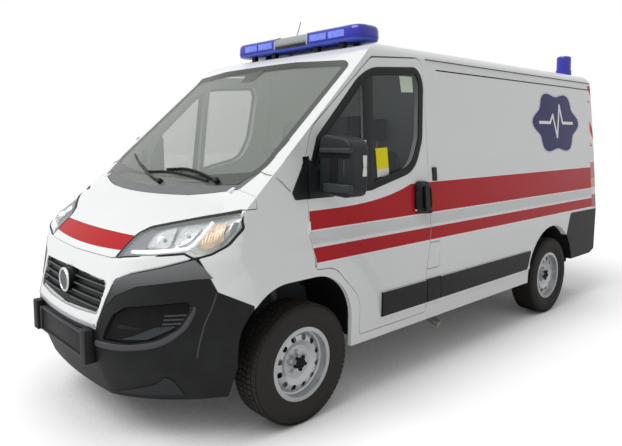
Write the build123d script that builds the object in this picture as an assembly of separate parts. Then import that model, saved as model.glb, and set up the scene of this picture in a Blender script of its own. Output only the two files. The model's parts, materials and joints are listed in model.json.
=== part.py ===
"""A small low-roof panel-van ambulance, as an assembly of separate pieces.

Millimetres, +Z up.  Everything is modelled with the front axle at y = 0, the nose
at -y and the vehicle's left side at +x.  save() then moves each piece so that the
origin lies on the ground under the middle of the whole vehicle.
"""
from build123d import *
from math import atan2, cos, radians, sin, sqrt, tan
import os

os.makedirs("parts", exist_ok=True)

# ---------------------------------------------------------------- driving sizes
WHEELBASE = 3000
FRONT_OVERHANG = 948          # front axle to the bumper's face
REAR_OVERHANG = 1015          # rear axle to the rear step
PLATE_STAND = 30              # plate holder ahead of the bumper's face
TRACK_FRONT = 1810
TRACK_REAR = 1790

HALF_WIDTH = 1021             # at the waist, without mirrors
HALF_WIDTH_SILL = 1006
HALF_WIDTH_GUTTER = 900
WAIST_Z = 880
SILL_Z = 355                  # lower edge of the body
GUTTER_Z = 2155               # where roof and sides meet
ROOF_CORNER_Z = 2190
ROOF_Z = 2254
SIDE_BULGE = 7                # how far the leaning side is rounded outwards
ROOF_CORNER_R = 120
REAR_CORNER_R = 62
REAR_STEP = 30                # how far the rear step stands behind the doors

WALL = 50                     # doors, sides and roof
FENDER_T = 30
HOOD_T = 20
GLASS_T = 6
GAP = 5                       # round everything that opens
JOIN = 0.5                    # between fixed panels
SEAT_GAP = 0.3                # between pieces that rest on one another
DOOR_RISE = 5                 # extra room over the cab doors, which lift as they open
PIN_R = 8                     # hinge barrels
PIN_GAP = 1.5                 # round a hinge barrel

TYRE_R = 341
TYRE_W = 215
RIM_R = 190                   # bead seat
RIM_W = 178
RIM_T = 6
FLANGE_R = 208
FLANGE_T = 6
WELL_X = 45
WELL_R = 166
DISC_X = 58                   # wheel disc's crest, out from the wheel's middle
DISC_T = 7
HUB_R = 74
HUB_DEPTH = 75
HUB_CAP_R = 34
HUB_CAP_T = 30
BOLT_R = 11
BOLT_T = 18
HUB_BORE_R = 30
WHEEL_HOLES = 12
WHEEL_HOLE_R = 17
WHEEL_HOLE_PITCH_R = 142
WHEEL_BOLTS = 5
WHEEL_BOLT_PITCH_R = 59

# ------------------------------------------------------- places that follow
REAR_AXLE_Y = WHEELBASE
NOSE_Y = -FRONT_OVERHANG
STEP_END_Y = WHEELBASE + REAR_OVERHANG
REAR_Y = STEP_END_Y - REAR_STEP
LENGTH = STEP_END_Y - NOSE_Y + PLATE_STAND
CENTRE_SHIFT = -(STEP_END_Y + NOSE_Y - PLATE_STAND) / 2
AXLE_Z = TYRE_R

# windscreen: a cylinder whose axis runs up the slope
SCREEN_ANGLE = 41.5
SCREEN_FOOT = (-420, 1290)    # y and z on the centre line
SCREEN_R = 7300
# brow over the windscreen
BROW_ANGLE = 23
BROW_FOOT = (450, 2066)
BROW_R = 700
# hood: part of a ring about an axis across the vehicle
HOOD_FRONT = (-840, 985)
HOOD_MIDDLE = (-650, 1152)
HOOD_BACK = (-300, 1337)
HOOD_CROWN_R = 9000
SHOULDER_R = 300
SHOULDER_X = 1035
FAR = 5000                    # a length beyond the vehicle

# kingpin axis of the front struts, and what it carries
KINGPIN_TOP = (660, 0, 905)
KINGPIN_FOOT = (862, 0, 175)
KINGPIN_TILT = atan2(KINGPIN_FOOT[0] - KINGPIN_TOP[0], KINGPIN_TOP[2] - KINGPIN_FOOT[2])
STRUT_TOP_Z = 905
STRUT_R = 30
STRUT_HOLE_R = 48
BALL_Z = 225
BALL_R = 20
KNUCKLE_T = 66
STEER_ARM_Y = 105
ARM_T = 22
SUBFRAME_Z = (150, 225)
RACK_HALF = 560
RACK_Y = 165
RACK_Z = 244
RACK_R = 24
AXLE_R = 45
DRUM_R = 118
DRUM_T = 60
SPRING_X = 620
SPRING_HALF = 600
SPRING_T = 30
HANGER_T = 30
RAIL_X = 500
RAIL_Z = (375, 475)
RAIL_START_Y = -800
CROSS_HALF = 600
FLOOR_Z = (475, 535)
FLOOR_START_Y = 415
LOAD_FLOOR_X = 700            # the flat board between the wheel housings
LOAD_FLOOR_Y = (1320, 3900)
LOAD_FLOOR_Z = 543
FIREWALL_Y = (-130, -100)
FRONT_WELL_X = 580
TOWER_X = 590
TOWER_W = 150
TOWER_T = 30
TOWER_END_Y = 70
REAR_WELL_X = 740
LINER_OUT = 32
LINER_T = 8
LINER_FOOT_Z = 400
BULKHEAD_T = 30
BULKHEAD_WINDOW = [(-330, 1380, 40), (330, 1380, 40), (330, 1760, 40), (-330, 1760, 40)]
ENGINE_Y = (-660, -190)
ENGINE_Z = (280, 900)
PIPE_X = 200
PIPE_Z = 320
PIPE_R = 26
PIPE_END_Y = 1430
PIPE_END_Z = 210
SILENCER_Y = (650, 1150)
SILENCER_R = 72
TANK_Y = (1600, 2250)
TANK_Z = 250

# cab
DASH_Z = 1250
DASH = [(-300, DASH_Z, 0), (-300, 1292, 20), (60, 1302, 60), (190, 1240, 60), (215, 1050, 40), (140, 965, 40),
        (FIREWALL_Y[1], 955, 0), (FIREWALL_Y[1], DASH_Z, 0)]
STEER_WHEEL = (450, 425, 1210)
STEER_R = 195
STEER_GRIP_R = 16
STEER_HUB_R = 62
STEER_HUB_T = 60
STEER_SPOKES = (-20, 200, 270)
STEER_SPOKE_R = 12
COLUMN_ANGLE = radians(30)
COLUMN_LENGTH = 330
COLUMN_R = 45
SEAT_X = 450
SEAT_Y = 560
SEAT_L = 500
SEAT_W = 500
SEAT_Z = 790

# roof equipment
BAR_HALF = 700
BAR_Y = 885
BAR_DEEP = 250
BAR_Z = (2268, 2352)
BAR_PLINTH_T = 14
BAR_MID_HALF = 235
BAR_FOOT_X = 430
BEACON_X = 720
BEACON_Y = 3750
BEACON_R = 68
BEACON_H = 165
BEACON_TOP_Z = 2395
WIPER_ARMS = ((-520, 85, -300, 150), (190, 60, 440, 130))     # pivot x and up, tip x and up
WIPER_OUT = 12
WIPER_R = 7
WIPER_BOSS_R = 14
BLADE_HALF = 320
BLADE_SLOPE = 0.12
ANTENNA_FOOT = (-300, 1030)
ANTENNA_TIP = (-300, 1135, 2537)


# ---------------------------------------------------------------- small helpers
def face_of(rows, grow=0):
    """A face from rows of (u, v, corner radius), with every side moved out by grow."""
    count = len(rows)
    area = sum(rows[i - 1][0] * rows[i][1] - rows[i][0] * rows[i - 1][1] for i in range(count))
    turn = 1 if area > 0 else -1
    points, radii = [], []
    for i, (u, v, radius) in enumerate(rows):
        before, after = rows[i - 1], rows[(i + 1) % count]
        d1 = Vector(u - before[0], v - before[1]).normalized()
        d2 = Vector(after[0] - u, after[1] - v).normalized()
        n1, n2 = Vector(d1.Y, -d1.X) * turn, Vector(d2.Y, -d2.X) * turn
        mitre = (n1 + n2) * (grow / (1 + n1.dot(n2)))
        bend = (d1.X * d2.Y - d1.Y * d2.X) * turn
        points.append((u + mitre.X, v + mitre.Y))
        radii.append(max(radius + (grow if bend > 0 else -grow), 0) if radius else 0)
    return make_face(FilletPolyline(*points, radius=radii, close=True))


def along_x(face, x0, x1):
    """Extrude a face drawn in (y, z) from x0 to x1."""
    return extrude(Plane.YZ.offset(x0) * face, x1 - x0)


def along_y(face, y0, y1):
    """Extrude a face drawn in (x, z) from y0 to y1."""
    return extrude(Plane.XZ.offset(-y1) * face, y1 - y0)


def along_z(face, z0, z1):
    """Extrude a face drawn in (x, y) from z0 to z1."""
    return extrude(Plane.XY.offset(z0) * face, z1 - z0)


def block(x0, x1, y0, y1, z0, z1):
    return Pos((x0 + x1) / 2, (y0 + y1) / 2, (z0 + z1) / 2) * Box(x1 - x0, y1 - y0, z1 - z0)


def rod(start, end, radius):
    a, b = Vector(*start), Vector(*end)
    return extrude(Plane(origin=a, z_dir=b - a) * Circle(radius), (b - a).length)


def on_kingpin(z):
    """The point of the left kingpin axis at a height."""
    share = (z - KINGPIN_FOOT[2]) / (KINGPIN_TOP[2] - KINGPIN_FOOT[2])
    return tuple(a + (b - a) * share for a, b in zip(KINGPIN_FOOT, KINGPIN_TOP))


def other_side(shape):
    return mirror(shape, Plane.YZ)


def both_sides(shape):
    return shape + other_side(shape)


def save(name, shape):
    pieces = shape.solids() if hasattr(shape, "solids") else [s for x in shape for s in x.solids()]
    moved = [Pos(0, CENTRE_SHIFT, 0) * piece for piece in pieces]
    export_step(moved[0] if len(moved) == 1 else Compound(children=moved), f"parts/{name}.step")


# ------------------------------------------------------------- the outer shape
def flip(point):
    return (-point[0], point[1])


def core(inset):
    """The body's cross-section, run from the nose to the rear doors."""
    waist = (HALF_WIDTH - inset, WAIST_Z)
    corner = (HALF_WIDTH_GUTTER - inset, ROOF_CORNER_Z)
    middle = ((waist[0] + corner[0]) / 2 + SIDE_BULGE, (waist[1] + corner[1]) / 2)
    foot = (HALF_WIDTH_SILL - inset, 0)
    edges = (Line(foot, waist) + ThreePointArc(waist, middle, corner)
             + ThreePointArc(corner, (0, ROOF_Z - inset), flip(corner))
             + ThreePointArc(flip(corner), flip(middle), flip(waist))
             + Line(flip(waist), flip(foot)) + Line(flip(foot), foot))
    section = make_face(edges)
    tops = section.vertices().sort_by(Axis.Y)[-2:]
    section = fillet(tops, ROOF_CORNER_R - inset)
    body = along_y(section, NOSE_Y - 200, REAR_Y - inset)
    rear = body.faces().sort_by(Axis.Y)[-1]
    return fillet(rear.edges().sort_by(Axis.Z)[1:], max(REAR_CORNER_R - inset, 8))


# plan of the nose at several heights
# height, centre y, bow end (x, y), corner (x, y), side (x, y)
NOSE_PLAN = [
    (150, -840, (430, -815), (715, -590), (920, -190)),
    (430, -945, (450, -915), (790, -690), (1015, -270)),
    (640, -948, (450, -925), (800, -700), (1032, -250)),
    (1000, -845, (470, -822), (800, -718), (1034, -235)),
    (1500, -690, (470, -670), (760, -560), (1034, -60)),
]


def nose(inset):
    faces = []
    for z, front, bow, corner, side in NOSE_PLAN:
        middle = (0, front + inset)
        bow = (bow[0] - 0.2 * inset, bow[1] + inset)
        corner = (corner[0] - 0.8 * inset, corner[1] + 0.7 * inset)
        side = (side[0] - inset, side[1])
        back = (side[0], FAR)
        edges = (Line(back, side) + ThreePointArc(side, corner, bow)
                 + ThreePointArc(bow, middle, flip(bow))
                 + ThreePointArc(flip(bow), flip(corner), flip(side))
                 + Line(flip(side), flip(back)) + Line(flip(back), back))
        faces.append(Plane.XY.offset(z) * make_face(edges))
    lower = loft(faces, ruled=True)
    return lower + block(-SHOULDER_X + inset, SHOULDER_X - inset, 0, FAR, 0, ROOF_Z + 100)


def circle_through(a, b, c):
    """Centre and radius of the circle through three (y, z) points."""
    arc = ThreePointArc(a, b, c)
    centre = arc.arc_center
    return (centre.X, centre.Y), arc.radius


HOOD_CENTRE, HOOD_RADIUS = circle_through(HOOD_FRONT, HOOD_MIDDLE, HOOD_BACK)


def hood_bulk(inset):
    """Everything under the hood's surface, as a ring about a cross axis."""
    top = HOOD_RADIUS - inset
    edge = SHOULDER_X - inset
    round_r = SHOULDER_R - inset
    crown = HOOD_CROWN_R - inset
    drop = crown - sqrt(crown ** 2 - edge ** 2)
    edges = (ThreePointArc((-edge, top - drop), (0, top), (edge, top - drop))
             + Line((edge, top - drop), (edge, 20)) + Line((edge, 20), (-edge, 20))
             + Line((-edge, 20), (-edge, top - drop)))
    section = make_face(edges)
    section = fillet(section.vertices().sort_by(Axis.Y)[-2:], round_r)
    axis = Axis((0, HOOD_CENTRE[0], HOOD_CENTRE[1]), (1, 0, 0))
    up = Plane(origin=(0, *HOOD_CENTRE), x_dir=(1, 0, 0), z_dir=(0, -1, 0))
    return revolve(up * section, axis, 360)


def screen_bulk(inset):
    """Everything behind the windscreen's surface."""
    slope = radians(SCREEN_ANGLE)
    along = (0, cos(slope), sin(slope))
    half = SHOULDER_X + 100
    r = SCREEN_R - inset
    drop = r - sqrt(r ** 2 - half ** 2)
    edges = (ThreePointArc((-half, -inset - drop), (0, -inset), (half, -inset - drop))
             + Line((half, -inset - drop), (half, -FAR)) + Line((half, -FAR), (-half, -FAR))
             + Line((-half, -FAR), (-half, -inset - drop)))
    frame = Plane(origin=(0, *SCREEN_FOOT), x_dir=(-1, 0, 0), z_dir=along)
    return extrude(frame * make_face(edges), FAR, both=True)


def brow_bulk(inset):
    """Everything under the brow, which joins the windscreen to the roof."""
    rise = tan(radians(BROW_ANGLE))
    front = NOSE_Y - 300
    foot_z = BROW_FOOT[1] - inset + (front - BROW_FOOT[0]) * rise
    top_y = BROW_FOOT[0] + (ROOF_Z + 1 - BROW_FOOT[1]) / rise
    rows = [(front, 0, 0), (front, foot_z, 0), (top_y, ROOF_Z + 1 - inset, BROW_R * 2),
            (FAR, ROOF_Z + 1 - inset, 0), (FAR, 0, 0)]
    return along_x(face_of(rows), -SHOULDER_X - 50, SHOULDER_X + 50)


def envelope(inset):
    return core(inset) & nose(inset) & (hood_bulk(inset) + screen_bulk(inset)) & brow_bulk(inset)


OUTER = envelope(0)
INNER = {t: envelope(t) for t in (WALL, FENDER_T, HOOD_T)}


def skin(thickness):
    return OUTER - INNER[thickness]


# ---------------------------------------------------- outlines seen from the side
# rows are (y, z, corner radius); the arches are rounded boxes round each wheel
ARCH_TOP_Z = 828
FRONT_ARCH = [(-420, 200, 0), (-420, ARCH_TOP_Z, 300), (371, ARCH_TOP_Z, 300), (371, 200, 0)]
REAR_ARCH_R = 428
REAR_ARCH_CENTRE = (REAR_AXLE_Y - 15, 375)

DOOR_FRONT_Y = 44
DOOR_BACK_Y = 1150
DOOR_BACK_LOW_Y = 1100
DOOR_BOTTOM_Z = 412
DOOR_TOP_Z = 2113
DOOR_INNER_X = 840            # the doors reach no further in than this
CAB_DOOR = [
    (DOOR_FRONT_Y, 1490, 150), (DOOR_FRONT_Y, 1050, 20), (DOOR_FRONT_Y + 36, 930, 30),
    (DOOR_FRONT_Y + 44, 868, 8), (225, 862, 150), (445, 640, 160), (445, DOOR_BOTTOM_Z, 12),
    (DOOR_BACK_LOW_Y, DOOR_BOTTOM_Z, 25), (DOOR_BACK_LOW_Y, 700, 30), (DOOR_BACK_Y, 985, 60),
    (DOOR_BACK_Y, DOOR_TOP_Z + 12, 60), (640, DOOR_TOP_Z - 24, 90), (105, 1655, 120),
]
SIDE_JOINT_Y = 1258           # where the rear side panel starts
CAB_WINDOW = [
    (520, 1935, 40), (640, 2002, 40), (1085, 2035, 45), (1122, 1960, 150), (1075, 1590, 260),
    (985, 1400, 200), (560, 1305, 60), (95, 1300, 15), (95, 1430, 60), (160, 1590, 60),
]
WINDOW_BAR = [(585, 2100, 0), (625, 2100, 0), (575, 1250, 0), (535, 1250, 0)]
FUEL_FLAP = [(1138, 882, 18), (1107, 707, 18), (SIDE_JOINT_Y - 8, 707, 18), (SIDE_JOINT_Y - 8, 882, 18)]
SLIDING_DOOR = [(1400, 470, 8), (2475, 470, 8), (2475, 2085, 60), (1400, 2085, 60)]
SLIDING_WINDOW = [(1500, 1330, 70), (2380, 1330, 70), (2380, 1960, 70), (1500, 1960, 70)]
HOOD_BACK_Y = -310
FENDER = [(-601, 1400, 0), (-200, 1428, 0), (-75, 1318, 0),
          (70, 1290, 0), (70, 880, 0), (462, 880, 0), (462, SILL_Z, 0), (-343, SILL_Z, 0), (-343, 747, 0),
          (-521, 840, 0), (-601, 1008, 0)]
SAIL = [(-70, 1302, 10), (-52, 1264, 14), (240, 1262, 10), (240, 1345, 10), (100, 1440, 30), (45, 1500, 20)]

BUMPER_BOTTOM_Z = 250
BUMPER_SIDE = [(NOSE_Y - 60, 100, 0), (NOSE_Y - 60, 1100, 0), (-603, 1100, 0), (-603, 1006, 0),
               (-523, 838, 0), (-345, 745, 0), (-345, 100, 0)]
REAR_BUMPER_SIDE = [(REAR_AXLE_Y + 200, 437, 0), (REAR_AXLE_Y + 345, 885, 40), (REAR_Y + 100, 885, 0),
                    (REAR_Y + 100, 520, 0), (REAR_Y - 150, 437, 0)]
MOULDING_Z = (475, 635)
MOULDING_END_Y = 2570

# ---------------------------------------------------- outlines seen from the front
# rows are (x, z, corner radius), the vehicle's left half
HEADLAMP = [(468, 968, 0), (476, 1092, 45), (530, 1130, 80), (758, 1185, 0), (972, 1236, 10), (983, 1218, 8),
            (998, 1154, 40), (978, 1074, 60), (945, 1036, 40), (903, 1021, 6), (855, 1013, 0), (542, 982, 0)]
SURROUND = [(-40, 965, 0), (430, 974, 20), (470, 981, 0), (542, 997, 0), (862, 1040, 12), (896, 1016, 5),
            (778, 970, 60), (620, 926, 80), (500, 880, 60), (472, 790, 60), (432, 612, 25), (-40, 602, 0)]
GRILLE = [(-40, 872, 0), (445, 860, 25), (420, 688, 25), (-40, 666, 0)]
INTAKE = [(474, 568, 8), (529, 703, 30), (600, 752, 40), (868, 797, 10), (876, 768, 15), (822, 656, 60),
          (740, 598, 50), (620, 566, 30)]
LOWER_INTAKE = [(-40, 585, 0), (400, 585, 15), (380, 420, 20), (-40, 420, 0)]
SCREEN_HALF = [(-40, 1300, 0), (500, 1330, 300), (880, 1408, 60), (838, 2052, 30), (400, 2072, 100),
               (-40, 2072, 0)]
BESIDE_LAMP = [(600, 950, 0), (1150, 950, 0), (1150, 1236, 0), (972, 1236, 0), (700, 1140, 0)]
COWL_FOOT = [(-840, -300), (0, -455), (840, -300)]     # plan, (x, y)
COWL_CORNER = (885, -195)
REAR_DOOR_X = 805             # outer edge at the foot
REAR_DOOR_LEAN = 45           # how far that edge leans in at the top
REAR_DOOR_Z = (560, 2110)
REAR_MEET_X = 4               # inner edge of each leaf, which swings over the centre line a little
REAR_DOOR = [(REAR_MEET_X, REAR_DOOR_Z[0], 0), (REAR_DOOR_X, REAR_DOOR_Z[0], 25),
             (REAR_DOOR_X - REAR_DOOR_LEAN, REAR_DOOR_Z[1], 60), (REAR_MEET_X, REAR_DOOR_Z[1], 0)]
REAR_PIN_OUT = 6              # hinge axis behind the doors' outer face
REAR_HINGES = (400, 1345)
REAR_HINGE_HALF = 40
REAR_STEP_X = 780
REAR_STEP_Z = (437, 540)
TAIL_LAMP_LENGTH = 150
PANE_SET_BACK = 12
PANE_T = 6
DOOR_HINGE_HALF = 30
MOULDING_T = 9
MOULDING_START_Y = 640
HANDLE = [(980, 1110, 25), (1140, 1085, 25), (1140, 1270, 25), (1010, 1300, 30)]
HANDLE_T = 16
SAIL_T = 7
MIRROR_FRONT = [(1000, 1290, 45), (1235, 1277, 45), (1250, 1440, 60), (1245, 1590, 70), (1005, 1622, 50)]
MIRROR_Y = (112, 256)
MIRROR_ARM_Y = (140, 215)
MIRROR_ARM_Z = (1320, 1400)
MIRROR_ROUND = 18
FLAP_T = 6
FLAP_POCKET = 36
FLAP_GAP = 5
FLAP_PIN_R = 4
FLAP_HINGE_HALF = 35
HOOD_HINGE_X = 780
HOOD_HINGE_HALF = 28
HOOD_PIN_R = 6
HOOD_LUG = 32
HOOD_AXIS_Z = 1330
REAR_WINDOW = [(110, 1330, 70), (690, 1330, 70), (665, 1930, 70), (110, 1930, 70)]
TAIL_LAMP_Z = (900, 1345)
TAIL_LAMP_IN_X = 845

MID_Y = 900                   # a section inside the cab, to part front from rear


def full_width(rows, grow=0):
    """A front outline and its mirror image, which may meet across the centre line."""
    half = face_of(rows, grow)
    return half + mirror(half, Plane.YZ)


def front_cut(face):
    return along_y(face, NOSE_Y - 100, MID_Y)


def left_cut(face, inner_x=300):
    return along_x(face, inner_x, HALF_WIDTH + 60)


# --------------------------------------------------------------------- hinges
def hinge(frame, leaf, start, end, places, half_length, radius=PIN_R, frame_lug=None, leaf_lug=None):
    """Add barrels on one axis, half of each on the frame and half on the leaf.

    places are distances along the axis from start.  A lug is the (x, y, z) way that
    a barrel is lengthened to reach the panel which carries it.
    """
    a, b = Vector(*start), Vector(*end)
    way = (b - a).normalized()

    def barrel(low, high, r, lug):
        p, q = a + way * low, a + way * high
        body = rod(p, q, r)
        if lug:
            reach = Vector(*lug)
            side = way.cross(reach).normalized() * r
            strip = Polyline(*[v + reach * k for v, k in
                               ((p - side, 0), (p + side, 0), (p + side, 1), (p - side, 1))], close=True)
            body += extrude(make_face(strip), (q - p).length, dir=way)
        return body

    for place in places:
        low, high = place - half_length, place + half_length
        frame = frame - barrel(place - PIN_GAP, high + PIN_GAP, radius + PIN_GAP, leaf_lug)
        leaf = leaf - barrel(low - PIN_GAP, place + PIN_GAP, radius + PIN_GAP, frame_lug)
        frame = frame + barrel(low, place - SEAT_GAP / 2, radius, frame_lug)
        leaf = leaf + barrel(place + SEAT_GAP / 2, high, radius, leaf_lug)
    return frame, leaf


def side_x(z, inset=0):
    """Half width of the body at a height above the waist."""
    share = (z - WAIST_Z) / (ROOF_CORNER_Z - WAIST_Z)
    bulge = 4 * SIDE_BULGE * share * (1 - share)
    return HALF_WIDTH - inset + (HALF_WIDTH_GUTTER - HALF_WIDTH) * share + bulge


DOOR_HINGE_Z = (1110, 1440)
DOOR_AXIS = [(side_x(z) + 1, DOOR_FRONT_Y - GAP / 2, z) for z in DOOR_HINGE_Z]


def on_door_axis(z):
    share = (z - DOOR_HINGE_Z[0]) / (DOOR_HINGE_Z[1] - DOOR_HINGE_Z[0])
    return tuple(a + (b - a) * share for a, b in zip(*DOOR_AXIS))


def largest(shape):
    return max(shape.solids(), key=lambda piece: piece.volume)


def largest_face(shape):
    return max(shape.faces(), key=lambda face: face.area)


# --------------------------------------------------------------- body panels
wall = skin(WALL)
fender_skin = skin(FENDER_T)
hood_skin = skin(HOOD_T)

front_arch = left_cut(face_of(FRONT_ARCH))
rear_arch = left_cut(Pos(*REAR_ARCH_CENTRE) * Circle(REAR_ARCH_R))
door_hole = left_cut(face_of(CAB_DOOR, GAP), DOOR_INNER_X - GAP)
door_hole += Pos(0, 0, DOOR_RISE) * door_hole
lamp_hole = front_cut(full_width(HEADLAMP, JOIN))
surround_hole = front_cut(full_width(SURROUND, JOIN))

# roof: one pressing above the gutters
roof = wall & block(-HALF_WIDTH, HALF_WIDTH, NOSE_Y, STEP_END_Y, GUTTER_Z, ROOF_Z + 1)

# hood: everything ahead of its shut line and above lamps and surround
def hood_outline(gap):
    """Front view of the hood: all above the lamps and the surround, less a gap."""
    face = Pos(0, 1270) * Rectangle(2300, 660)
    face -= full_width(HEADLAMP, gap) + full_width(SURROUND, gap) + full_width(BESIDE_LAMP, gap)
    return largest_face(face)


def cowl_outline(grow):
    """Plan of the cowl between the hood's back edge and the windscreen."""
    left, middle, right = [(x, y - grow) for x, y in COWL_FOOT]
    corner = (COWL_CORNER[0], COWL_CORNER[1])
    return make_face(ThreePointArc(left, middle, right) + Line(right, corner)
                     + Line(corner, (-corner[0], corner[1])) + Line((-corner[0], corner[1]), left))


def cowl_zone(grow):
    return along_z(cowl_outline(grow), WAIST_Z, ROOF_Z)


hood_region = along_y(hood_outline(GAP), NOSE_Y - 100, HOOD_BACK_Y)
hood_room = along_y(hood_outline(0), NOSE_Y - 100, HOOD_BACK_Y + GAP)
hood = largest((hood_skin & hood_region) - cowl_zone(GAP))

# windscreen and cowl
screen_hole = front_cut(full_width(SCREEN_HALF, SEAT_GAP)) - screen_bulk(WALL * 1.2)
screen_skin = (screen_bulk(0) - screen_bulk(GLASS_T)) & front_cut(full_width(SCREEN_HALF))
windscreen = largest(screen_skin & core(0) & brow_bulk(0))
cowl = largest((hood_skin & cowl_zone(0)) - screen_hole)

# fenders, between bumper, hood, cowl and door
fender_zone = left_cut(face_of(FENDER), 600)
fender = (fender_skin & fender_zone) - hood_room - lamp_hole - surround_hole - front_arch - door_hole
fender = largest(fender - cowl_zone(JOIN) - screen_hole)

# cab frame: windscreen pillars, header, door pillars and sills in one ring
cab_frame = wall & block(-HALF_WIDTH - 1, HALF_WIDTH + 1, HOOD_BACK_Y, SIDE_JOINT_Y, SILL_Z, GUTTER_Z)
cab_frame -= both_sides(along_x(face_of(FENDER, JOIN), 0, HALF_WIDTH + 60) + door_hole)
cab_frame = largest(cab_frame - screen_hole - cowl_zone(JOIN))

# bumper with its intakes and louvres
INTAKE_DEPTH = 22
LOUVRE_Z = range(445, 780, 28)
LOUVRE_T = 10
LOUVRE_SET_BACK = 10
across = HALF_WIDTH + 60
bumper = fender_skin & along_x(face_of(BUMPER_SIDE), -across, across)
bumper &= block(-across, across, NOSE_Y - 60, 0, BUMPER_BOTTOM_Z, 1100)
bumper = largest(bumper - surround_hole - lamp_hole - hood_room - both_sides(front_arch))
lower_intake = front_cut(full_width(LOWER_INTAKE))
side_intakes = front_cut(full_width(INTAKE))
pockets = (envelope(INTAKE_DEPTH) - INNER[FENDER_T]) & side_intakes
louvres = (envelope(LOUVRE_SET_BACK) - INNER[FENDER_T]) & lower_intake
louvres &= Compound(children=[block(-across, across, NOSE_Y, 0, z, z + LOUVRE_T) for z in LOUVRE_Z])
bumper = bumper - lower_intake - side_intakes + louvres + pockets

# surround, and the grille: slats on a back plate, and a plain disc
surround = largest((fender_skin & front_cut(full_width(SURROUND))) - front_cut(full_width(GRILLE)))
SLAT_Z = (712, 750, 788, 826)
SLAT_T = 9
SLAT_SET_BACK = 4
SLAT_DEPTH = 24
BADGE_Y = -925
BADGE_Z = 797
BADGE_R = 66
grille_cut = front_cut(full_width(GRILLE))
grille = (envelope(SLAT_DEPTH) - INNER[FENDER_T]) & grille_cut
for z in SLAT_Z:
    grille += (envelope(SLAT_SET_BACK) - envelope(SLAT_DEPTH)) & grille_cut & block(-500, 500, NOSE_Y, 0, z, z + SLAT_T)
grille = largest(grille) + (rod((0, BADGE_Y + 60, BADGE_Z), (0, BADGE_Y, BADGE_Z), BADGE_R) - INNER[FENDER_T])

lamp_room = block(0, across, NOSE_Y, HOOD_BACK_Y + 20, 900, 1300)
headlamps = both_sides(largest((wall & front_cut(face_of(HEADLAMP)) & lamp_room) - surround_hole))

PLATE_HALF = 410
PLATE_Z = (430, 610)
PLATE_RIM = 16
PLATE_DEEP = 8
plate_front = NOSE_Y - PLATE_STAND
plate_holder = block(-PLATE_HALF, PLATE_HALF, plate_front, NOSE_Y + 50, *PLATE_Z) - OUTER
plate_holder -= block(-PLATE_HALF + PLATE_RIM, PLATE_HALF - PLATE_RIM, plate_front, plate_front + PLATE_DEEP,
                      PLATE_Z[0] + PLATE_RIM, PLATE_Z[1] - PLATE_RIM)
plate_holder = largest(plate_holder)

# ------------------------------------------------ rear body, doors and glass
pane = envelope(PANE_SET_BACK) - envelope(PANE_SET_BACK + PANE_T)


def rear_cut(face, depth=WALL * 2):
    return along_y(face, REAR_Y - depth, STEP_END_Y + 50)


def tail_lamp_room(grow):
    return block(TAIL_LAMP_IN_X - grow, across, REAR_Y - TAIL_LAMP_LENGTH - grow, STEP_END_Y,
                 TAIL_LAMP_Z[0] - grow, TAIL_LAMP_Z[1] + grow)


def flip_x(point):
    return (-point[0], point[1], point[2])


tail_lamps = both_sides(largest(wall & tail_lamp_room(0)))
rear_hole = rear_cut(full_width(REAR_DOOR, GAP))
side_panel_left = wall & block(0, across, SIDE_JOINT_Y, STEP_END_Y, SILL_Z, GUTTER_Z)
side_panel_left -= rear_arch + tail_lamp_room(JOIN)
side_panel_left -= rear_hole
side_panel_left = largest(side_panel_left - along_x(face_of(REAR_BUMPER_SIDE), 0, across))
side_panel_right = largest(other_side(side_panel_left) - other_side(left_cut(face_of(SLIDING_DOOR, JOIN))))
sliding_window_hole = other_side(left_cut(face_of(SLIDING_WINDOW)))
sliding_door = largest((wall & other_side(left_cut(face_of(SLIDING_DOOR)))) - sliding_window_hole)
sliding_glass = largest(pane & other_side(left_cut(face_of(SLIDING_WINDOW, -SEAT_GAP))))

rear_bumper = (wall & along_x(face_of(REAR_BUMPER_SIDE), -across, across)) - both_sides(rear_arch) - rear_hole
rear_bumper += block(-REAR_STEP_X, REAR_STEP_X, REAR_Y - WALL, STEP_END_Y, *REAR_STEP_Z)
rear_bumper = largest(rear_bumper)

rear_leaf = largest((wall & rear_cut(face_of(REAR_DOOR))) - rear_cut(face_of(REAR_WINDOW)))
rear_pane = largest(pane & rear_cut(face_of(REAR_WINDOW, -SEAT_GAP)))
REAR_AXIS = [(REAR_DOOR_X + GAP / 2, REAR_Y + REAR_PIN_OUT, REAR_DOOR_Z[0]),
             (REAR_DOOR_X + GAP / 2 - REAR_DOOR_LEAN, REAR_Y + REAR_PIN_OUT, REAR_DOOR_Z[1])]
side_panel_left, rear_door_left = hinge(side_panel_left, rear_leaf, *REAR_AXIS, REAR_HINGES, REAR_HINGE_HALF)
side_panel_right, rear_door_right = hinge(side_panel_right, other_side(rear_leaf),
                                          *[flip_x(p) for p in REAR_AXIS], REAR_HINGES, REAR_HINGE_HALF)

# ------------------------------------------------ cab doors, glass and mirrors
window = left_cut(face_of(CAB_WINDOW)) - left_cut(face_of(WINDOW_BAR))
door_leaf = wall & left_cut(face_of(CAB_DOOR), DOOR_INNER_X)
for opening in window.solids():
    door_leaf = largest(door_leaf - opening)
glass_room = left_cut(face_of(CAB_WINDOW, -SEAT_GAP)) - left_cut(face_of(WINDOW_BAR, SEAT_GAP))
door_panes = Compound(children=[largest(pane & room) for room in glass_room.solids()])
MID_WALL = envelope(WALL / 2)
proud = envelope(-MOULDING_T) - MID_WALL


def moulding(y0, y1):
    """A strip proud of the panel, GAP short of each end and half sunk into it."""
    return proud & block(0, across, y0 + GAP, y1 - GAP, *MOULDING_Z)


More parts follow.
